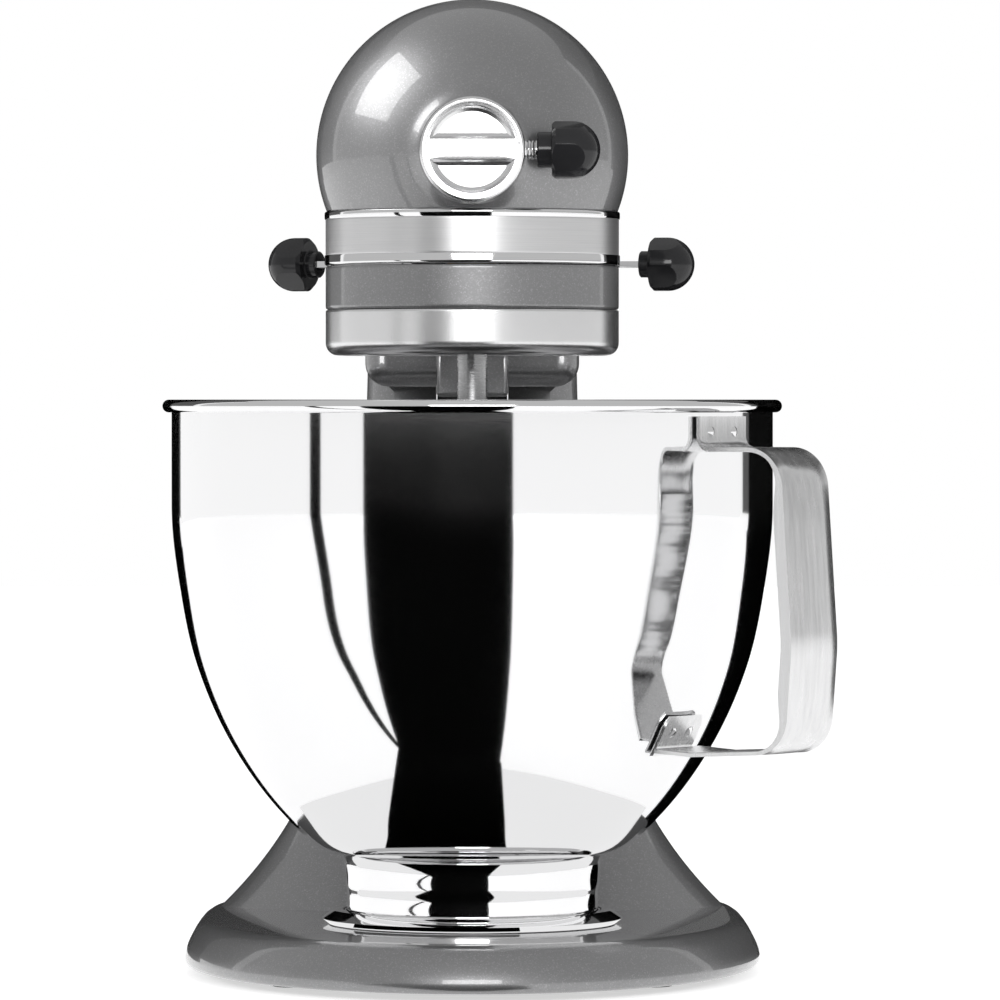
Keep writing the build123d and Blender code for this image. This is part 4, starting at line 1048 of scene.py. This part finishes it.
def rounded_route(corners, radii, spacing=2.0):
    """Points along a line of straight runs whose corners are rounded."""
    route = [Vector(corners[0])]
    for before, here, after, radius in zip(corners, corners[1:], corners[2:], radii):
        here = Vector(here)
        back = (Vector(before) - here).normalized()
        on = (Vector(after) - here).normalized()
        half = back.angle(on) / 2
        reach = radius / tan(half)
        middle = here + (back + on).normalized() * (radius / sin(half))
        first, last = here + back * reach - middle, here + on * reach - middle
        sweep = first.angle(last)
        steps = max(4, int(radius * sweep / spacing * 2))
        for step in range(steps + 1):
            share = step / steps
            way = (first * sin(sweep * (1 - share)) + last * sin(sweep * share)) / sin(sweep)
            route.append(middle + way)
    route.append(Vector(corners[-1]))
    even = [route[0]]
    for point in route[1:]:
        gap = (point - even[-1]).length
        steps = max(1, int(gap / (spacing * 2)))
        start = even[-1]
        for step in range(1, steps + 1):
            even.append(start.lerp(point, step / steps))
    return even


def handle_place(radius, across, z):
    """A point of the handle from its distance to the bowl axis, its place across and its height."""
    return (
        radius * cos(HANDLE_TURN) - across * sin(HANDLE_TURN),
        radius * sin(HANDLE_TURN) + across * cos(HANDLE_TURN),
        z,
    )


def strap_section(flange, crown):
    """Closed section of the strap as (across, inward): crowned outside, edges turned in."""
    half = STRAP_WIDTH / 2
    outer = []
    for step in range(13):
        across = -half + 2 * half * step / 12
        edge = 1 - (across / half) ** 4
        outer.append((across, -crown * edge + 0.5 * (1 - edge) * (1 if abs(across) < half else 0)))
    inner = []
    for step in range(13):
        across = half - STRAP - 2 * (half - STRAP) * step / 12
        inner.append((across, STRAP - crown * (1 - (across / half) ** 4)))
    edge = STRAP + flange
    return (
        outer + [(half, edge - 0.3), (half - 0.4, edge), (half - STRAP + 0.3, edge)]
        + inner + [(-half + STRAP - 0.3, edge), (-half + 0.4, edge), (-half, edge - 0.3)]
    )


class MIXER_OT_handle(bpy.types.Operator):
    """Makes the steel strap handle, its finger grip and its weld spots"""

    bl_idname = "mixer.handle"
    bl_label = "Bowl handle"

    def execute(self, context):
        tab = BOWL_RADIUS + 0.2
        weld_z = BOWL_LOW + 0.31 * (CURVE_TOP - BOWL_LOW)
        corners = [
            (tab + STRAP, WALL_TOP - 3.6), (tab + STRAP, HANDLE_TOP + STRAP / 2),
            (HANDLE_OUT + STRAP / 2 - 5.0, HANDLE_TOP + STRAP / 2), (HANDLE_OUT + STRAP / 2, HANDLE_LOW + 38),
            (HANDLE_OUT + STRAP / 2 - 3.0, HANDLE_LOW + 1 - STRAP / 2),
            (BOWL_RADIUS * 0.832 + 16, HANDLE_LOW - 1.8), (BOWL_RADIUS * 0.832 + 0.5, weld_z + 0.2),
        ]
        route = rounded_route(corners, [3.8, 14.8, 60.0, 13.8, 8.8])
        rings = []
        for index, spot in enumerate(route):
            before, after = route[max(index - 1, 0)], route[min(index + 1, len(route) - 1)]
            way = (after - before).normalized()
            inward = Vector((way.y, -way.x))
            if index < len(route) * 0.5 and spot.y > HANDLE_TOP - 2 and spot.x < HANDLE_OUT - 15:
                grip = 0.0
            else:
                rise = min((GRIP_TOP + 14 - spot.y) / 20, (spot.y - GRIP_LOW + 14) / 20, 1.0)
                out = min(max((spot.x - HANDLE_OUT + 16) / 10, 0.0), 1.0)
                grip = max(rise, 0.0) * out
            ring = []
            for across, depth in strap_section(3.2 * grip, 2.0 * grip):
                place = spot + inward * depth
                ring.append(handle_place(place.x, across, place.y))
            rings.append(ring)
        bm = ringed(rings)
        piece("strap", bm, ["linished_steel"], "bowl", ("handle_strap",), 40.0)
        strips = []
        stations = 60
        for step in range(stations + 1):
            z = GRIP_LOW + (GRIP_TOP - GRIP_LOW) * step / stations
            face = nearest_radius(route, z) - STRAP - 0.4
            scoop = 0.55 * (1 - cos(2 * pi * 4 * step / stations))
            half = STRAP_WIDTH / 2 - STRAP - 0.15
            ring = []
            for across, depth in ((-half, 0), (half, 0), (half, 2.6 - scoop), (half * 0.5, 2.9 - scoop),
                                  (-half * 0.5, 2.9 - scoop), (-half, 2.6 - scoop)):
                ring.append(handle_place(face - depth, across, z))
            strips.append(ring)
        piece("finger_strip", ringed(strips), ["satin_steel"], "bowl", ("handle_grip",), 50.0)
        wall = bowl_profile()
        plates = []
        for step in range(9):
            z = HANDLE_LOW - 2.0 + 14.0 * step / 8
            radius = radius_at(wall, z)
            half = 11.0 - (2.0 if step == 8 else 0.8 if step == 7 else 0.0)
            plates.append([
                handle_place(radius + gap, across, z)
                for gap, across in ((0.3, -half), (0.3, half), (0.9, half + 0.3), (1.9, half - 0.2),
                                    (1.9, 0.2 - half), (0.9, -half - 0.3))
            ])
        piece("lower_tab", ringed(plates), ["linished_steel"], "bowl", (), 40.0)
        out = (cos(HANDLE_TURN), sin(HANDLE_TURN), 0)
        low_out = Vector((0.86 * out[0], 0.86 * out[1], -0.5))
        low_z = HANDLE_LOW + 6.0
        spots = [(tab + STRAP, 7.0, WALL_TOP - 9.0, out)]
        spots += [(radius_at(wall, low_z) + 2.0, 5.0, low_z, low_out)]
        for level, (radius, across, z, way) in enumerate(spots):
            for side in (-1, 1):
                spot = turned([(0, 0.35), (1.0, 0.3), (1.8, 0.1), (2.1, -0.2), (0, -0.2)], steps=24)
                aim(spot, handle_place(radius, side * across, z), way)
                piece("weld_spot_%d_%d" % (level + 1, side + 2), spot, ["polished_steel"], "bowl")
        return {"FINISHED"}


def radius_at(line, z):
    """Radius of a section line at a height."""
    return next(
        first[0] + (second[0] - first[0]) * (z - first[1]) / (second[1] - first[1])
        for first, second in zip(line, line[1:]) if first[1] <= z < second[1]
    )


def nearest_radius(route, z):
    """Radius of the strap's outer face at a height along the grip."""
    grip = [spot for spot in route if spot.x > HANDLE_OUT - 14]
    return min(grip, key=lambda spot: abs(spot.y - z)).x


# ---- stand ---------------------------------------------------------------------------

def base_ring(inset, z):
    """Plan outline of the base at a height, moved inward by inset."""
    ring = []
    for step in range(OUTLINE_STEPS):
        angle = 2 * pi * step / OUTLINE_STEPS
        x, y = super_point(
            angle, BASE_HALF - inset, BASE_CENTRE - BASE_FRONT - inset, BASE_REAR - BASE_CENTRE - inset,
            2.0, 4.0, BASE_CENTRE,
        )
        ring.append((x, y, z))
    return ring


def column_ring(z):
    """Plan outline of the column at a height, flaring towards the base."""
    flare = exp(-(z - BASE_TOP) / 51.3)
    front = HINGE_Y - PRONG_RADIUS + 1.0 - 57.0 * flare
    rear = HINGE_Y + PRONG_RADIUS + 2.0 + 6.0 * flare
    widest = front + (0.5 - 0.19 * flare) * (rear - front)
    power = 3.4 - 1.2 * flare
    half = PRONG_HALF + 55.2 * flare
    ring = []
    for step in range(OUTLINE_STEPS):
        angle = 2 * pi * step / OUTLINE_STEPS
        x, y = super_point(angle, half, widest - front, rear - widest, power, power, widest)
        ring.append((x, y, z))
    return ring


class MIXER_OT_base(bpy.types.Operator):
    """Makes the painted base casting and the bowl's clamp plate"""

    bl_idname = "mixer.base"
    bl_label = "Base"

    def execute(self, context):
        height = BASE_TOP - BASE_LOW
        section = [(0.0, 9.0), (0.0, 2.0), (0.05, 0.8), (0.13, 0.0), (0.24, 0.15), (0.35, 0.55)]
        section += [(0.46, 1.2)]
        section += [(0.56, 2.0), (0.68, 3.0), (0.79, 4.2), (0.88, 5.4), (0.94, 6.8), (0.98, 8.6)]
        section += [(1.0, 11.0)]
        rings = [base_ring(inset, BASE_LOW + share * height) for share, inset in section]
        bm = ringed(rings, (True, True))
        piece("base_skin", bm, ["silver_enamel"], "stand", ("base_casting",), 50.0)
        out = CLAMP_RADIUS
        section = [(0, CLAMP_LOW), (out - 3.0, CLAMP_LOW), (out - 0.3, CLAMP_LOW + 2.1)]
        section += [(out, CLAMP_LOW + 2.4)]
        section += [(out - 0.3, CLAMP_LOW + 2.7), (out - 3.8, CLAMP_TOP - 0.2), (out - 4.3, CLAMP_TOP)]
        section += [(FOOT_RADIUS + 1.4, CLAMP_TOP), (FOOT_RADIUS + 1.0, CLAMP_TOP - 0.4)]
        section += [(FOOT_RADIUS + 1.0, CLAMP_TOP - 1.2), (FOOT_RADIUS + 4.2, CLAMP_TOP - 1.2)]
        section += [(FOOT_RADIUS + 4.2, CLAMP_LOW + 1.6), (0, CLAMP_LOW + 1.6)]
        bm = turned(section)
        piece("clamp_ring", bm, ["polished_steel"], "stand", ("bowl_clamp_plate",), 30.0)
        return {"FINISHED"}


class MIXER_OT_column(bpy.types.Operator):
    """Makes the painted column with its flared foot and its two hinge ears"""

    bl_idname = "mixer.column"
    bl_label = "Column"

    def execute(self, context):
        top = HINGE_Z + PRONG_RADIUS + 1
        rings = []
        for step in range(49):
            share = (step / 48) ** 1.6
            rings.append(column_ring(BASE_TOP - 0.3 + share * (top - BASE_TOP + 0.3)))
        obj = piece("column_skin", ringed(rings), ["silver_enamel"], "stand", ("pedestal_column",), 40.0)
        keep = arc((HINGE_Y, HINGE_Z), PRONG_RADIUS, 0, 180, 40)
        keep += [(HINGE_Y - 200, HINGE_Z), (HINGE_Y - 200, 0), (HINGE_Y + 200, 0), (HINGE_Y + 200, HINGE_Z)]
        cut(obj, plate(keep, "YZ", -200, 200), "INTERSECT")
        cut(obj, block((-SLOT_HALF, 0, SLOT_FLOOR), (SLOT_HALF, 300, SLOT_FLOOR + 100)))
        bore = turned([(0, -100), (PIN_HOLE, -100), (PIN_HOLE, 100), (0, 100)], steps=48)
        aim(bore, (0, HINGE_Y, HINGE_Z), (1, 0, 0))
        cut(obj, bore)
        soften(obj, 1.2, 3, 40.0)
        return {"FINISHED"}


# ---- carried-over CAD pieces -----------------------------------------------------------

class MIXER_OT_carried(bpy.types.Operator):
    """Gives every CAD piece that is shown as it is the finish of its slot"""

    bl_idname = "mixer.carried"
    bl_label = "Carried-over pieces"

    def execute(self, context):
        slots = {entry["node"]: entry["material_slot"] for entry in frame["record"]["subparts"]}
        for node, obj in frame["nodes"].items():
            material = finish_for(slots[node])
            for place in obj.material_slots:
                place.material = material
        return {"FINISHED"}


# ---- studio ----------------------------------------------------------------------------

def plain(name, colour, roughness=0.6):
    finish = Finish(name)
    where = finish.place()
    mottle = finish.noise(where, 6.0, 2.0)
    finish.set(
        Base_Color=finish.tint(mottle, shade(colour, 0.985), colour), Roughness=roughness,
        Specular_IOR_Level=0.2, Emission_Color=(1, 1, 1, 1), Emission_Strength=0.62,
    )
    return finish.material


def card(name, azimuths, heights, radius, level, hidden=True):
    """Curved upright card round the object, seen only in reflections; azimuth 0 is the front."""
    bm = bmesh.new()
    steps = 12
    start, end = azimuths
    spots = [radians(start + (end - start) * step / steps) for step in range(steps + 1)]
    verts = [bm.verts.new((radius * sin(a), -radius * cos(a), heights[0])) for a in spots]
    edges = [bm.edges.new(pair) for pair in zip(verts, verts[1:])]
    raised = bmesh.ops.extrude_edge_only(bm, edges=edges)
    top = [item for item in raised["geom"] if isinstance(item, bmesh.types.BMVert)]
    bmesh.ops.translate(bm, vec=(0, 0, heights[1] - heights[0]), verts=top)
    mesh = bpy.data.meshes.new(name)
    bm.to_mesh(mesh)
    bm.free()
    obj = bpy.data.objects.new(name, mesh)
    bpy.context.scene.collection.objects.link(obj)
    finish = Finish(name)
    finish.set(Base_Color=(0, 0, 0, 1), Roughness=1.0, Specular_IOR_Level=0.0, Emission_Color=(1, 1, 1, 1))
    finish.set(Emission_Strength=level)
    mesh.materials.append(finish.material)
    obj.visible_camera = not hidden
    obj.visible_diffuse = False
    obj.visible_shadow = False
    return obj


def flat_card(name, corners, z, level=0.0):
    """Level card seen from above only, and only in reflections."""
    bm = bmesh.new()
    face = bm.faces.new([bm.verts.new((x, y, z)) for x, y in corners])
    face.normal_update()
    if face.normal.z < 0:
        face.normal_flip()
    mesh = bpy.data.meshes.new(name)
    bm.to_mesh(mesh)
    bm.free()
    obj = bpy.data.objects.new(name, mesh)
    bpy.context.scene.collection.objects.link(obj)
    finish = Finish(name)
    behind = finish.add("ShaderNodeNewGeometry", out=6)
    finish.set(
        Base_Color=(0, 0, 0, 1), Roughness=1.0, Specular_IOR_Level=0.0, Alpha=1 - behind,
        Emission_Color=(1, 1, 1, 1), Emission_Strength=level,
    )
    mesh.materials.append(finish.material)
    obj.visible_camera = False
    obj.visible_diffuse = False
    obj.visible_shadow = False
    return obj


def softbox(name, place, target, size, power):
    light = bpy.data.lights.new(name, "AREA")
    light.shape = "RECTANGLE"
    light.size, light.size_y = size
    light.energy = power
    obj = bpy.data.objects.new(name, light)
    obj.location = place
    obj.rotation_euler = (Vector(target) - Vector(place)).to_track_quat("-Z", "Y").to_euler()
    bpy.context.scene.collection.objects.link(obj)
    return obj


class MIXER_OT_studio(bpy.types.Operator):
    """Sets up the camera, the pale floor, the lights and the dark cards"""

    bl_idname = "mixer.studio"
    bl_label = "Studio"

    def execute(self, context):
        settings = studio_settings()
        scene = context.scene
        camera_data = bpy.data.cameras.new("camera")
        camera_data.lens = settings.focal
        camera_data.sensor_width = 36
        camera_data.clip_end = 50
        camera = bpy.data.objects.new("camera", camera_data)
        camera.location = (0, -settings.distance, settings.height)
        aim_at = Vector((0.0100, 0, 0.1724))
        camera.rotation_euler = (aim_at - camera.location).to_track_quat("-Z", "Y").to_euler()
        scene.collection.objects.link(camera)
        scene.camera = camera
        scene.view_settings.view_transform = "Standard"
        scene.view_settings.look = "None"
        world = bpy.data.worlds.new("studio")
        world.use_nodes = True
        background = world.node_tree.nodes["Background"]
        background.inputs["Color"].default_value = (1, 1, 1, 1)
        background.inputs["Strength"].default_value = settings.sky
        scene.world = world
        bm = bmesh.new()
        bmesh.ops.create_grid(bm, x_segments=1, y_segments=1, size=6)
        mesh = bpy.data.meshes.new("floor")
        bm.to_mesh(mesh)
        bm.free()
        floor = bpy.data.objects.new("floor", mesh)
        scene.collection.objects.link(floor)
        mesh.materials.append(plain("floor_paint", (0.92, 0.92, 0.92, 1)))
        key = softbox("key", (-1.6, -0.1, 1.55), (0, 0, 0.25), (1.3, 1.3), settings.key)
        key.light_linking.receiver_collection = bpy.data.collections.new("lit_by_key")
        softbox("front", (0, -3.1, 0.82), (0, 0, 0.2), (1.7, 0.8), settings.key * 1.1)
        under_head = bpy.data.collections.new("lit_low")
        for side, place in (("left", (-1.6, -2.4, 0.11)), ("right", (1.5, -2.6, 0.11))):
            low_box = softbox("low_" + side, place, (0, 0, 0.2), (1.2, 0.22), settings.key * 0.45)
            low_box.light_linking.receiver_collection = under_head
        card("flag_centre", (-41, 15), (0.0, 0.225), 3.4, 0.0)
        card("flag_thin", (-63, -58.4), (0.0, 0.225), 3.0, 0.0)
        card("white_low", (-148, 123), (0.0, 0.235), 3.7, 1.08)
        near = -BASE_FRONT / 1000
        flat_card("flag_floor", [(-0.060, -near), (0.022, -near), (1.04, -3.86), (-2.62, -3.02)], 0.002)
        flat_card("flag_thin_floor", [(-0.052, -near), (-0.048, -near), (-3.0, -1.84), (-3.11, -1.58)], 0.002)
        apron = [(x / 1000, y / 1000) for x, y, z in base_ring(2.0, 0) if y < BASE_CENTRE]
        flat_card("apron", apron, BASE_TOP / 1000 + 0.0004, 0.95)
        flat_card("apron_flag", [(-0.036, 0.0), (0.013, 0.0), (0.022, -near), (-0.060, -near)],
                  BASE_TOP / 1000 + 0.0008)
        card("flag_left", (-176, -148), (0.0, 1.0), 1.6, 0.0)
        card("flag_right", (128, 174), (0.0, 1.0), 1.6, 0.0)
        for side, azimuths in (("left", (-176, -148)), ("right", (128, 174))):
            ends = [(reach * sin(radians(a)), -reach * cos(radians(a)))
                    for reach, a in zip((0.14, 0.14, 2.2, 2.2), azimuths + azimuths[::-1])]
            flat_card("flag_floor_" + side, ends, 0.002)
        card("grey_right", (-20, 118), (0.235, 0.372), 3.3, 0.4)
        card("flag_back", (125, 235), (0.0, 5.0), 5.2, 0.1)
        card("backdrop", (120, 240), (-0.1, 5.0), 5.5, 1.0, hidden=False)
        return {"FINISHED"}


# ---- panel and registration --------------------------------------------------------------

STEPS = (
    MIXER_OT_studio, MIXER_OT_carried, MIXER_OT_base, MIXER_OT_column, MIXER_OT_bowl, MIXER_OT_handle,
    MIXER_OT_housing, MIXER_OT_drip_ring, MIXER_OT_band, MIXER_OT_head, MIXER_OT_hub_cover, MIXER_OT_knobs,
)


class MIXER_PT_panel(bpy.types.Panel):
    """Lists the steps that build the mixer"""

    bl_label = "Stand mixer"
    bl_idname = "MIXER_PT_panel"
    bl_space_type = "VIEW_3D"
    bl_region_type = "UI"
    bl_category = "Mixer"

    def draw(self, context):
        for group in (context.scene.mixer_shape, context.scene.mixer_finish, context.scene.mixer_studio):
            for key in group.__annotations__:
                self.layout.prop(group, key)
        for step in STEPS:
            self.layout.operator(step.bl_idname)


CLASSES = (FinishSettings, ShapeSettings, StudioSettings, *STEPS, MIXER_PT_panel)


def register():
    for item in CLASSES:
        bpy.utils.register_class(item)
    bpy.types.Scene.mixer_finish = PointerProperty(type=FinishSettings)
    bpy.types.Scene.mixer_shape = PointerProperty(type=ShapeSettings)
    bpy.types.Scene.mixer_studio = PointerProperty(type=StudioSettings)


def unregister():
    del bpy.types.Scene.mixer_studio
    del bpy.types.Scene.mixer_shape
    del bpy.types.Scene.mixer_finish
    for item in reversed(CLASSES):
        bpy.utils.unregister_class(item)


def main():
    register()
    bpy.ops.mixer.studio()
    bpy.ops.mixer.carried()
    bpy.ops.mixer.base()
    bpy.ops.mixer.column()
    bpy.ops.mixer.bowl()
    bpy.ops.mixer.handle()
    bpy.ops.mixer.housing()
    bpy.ops.mixer.drip_ring()
    bpy.ops.mixer.band()
    bpy.ops.mixer.head()
    bpy.ops.mixer.hub_cover()
    bpy.ops.mixer.knobs()


if __name__ == "__main__":
    main()
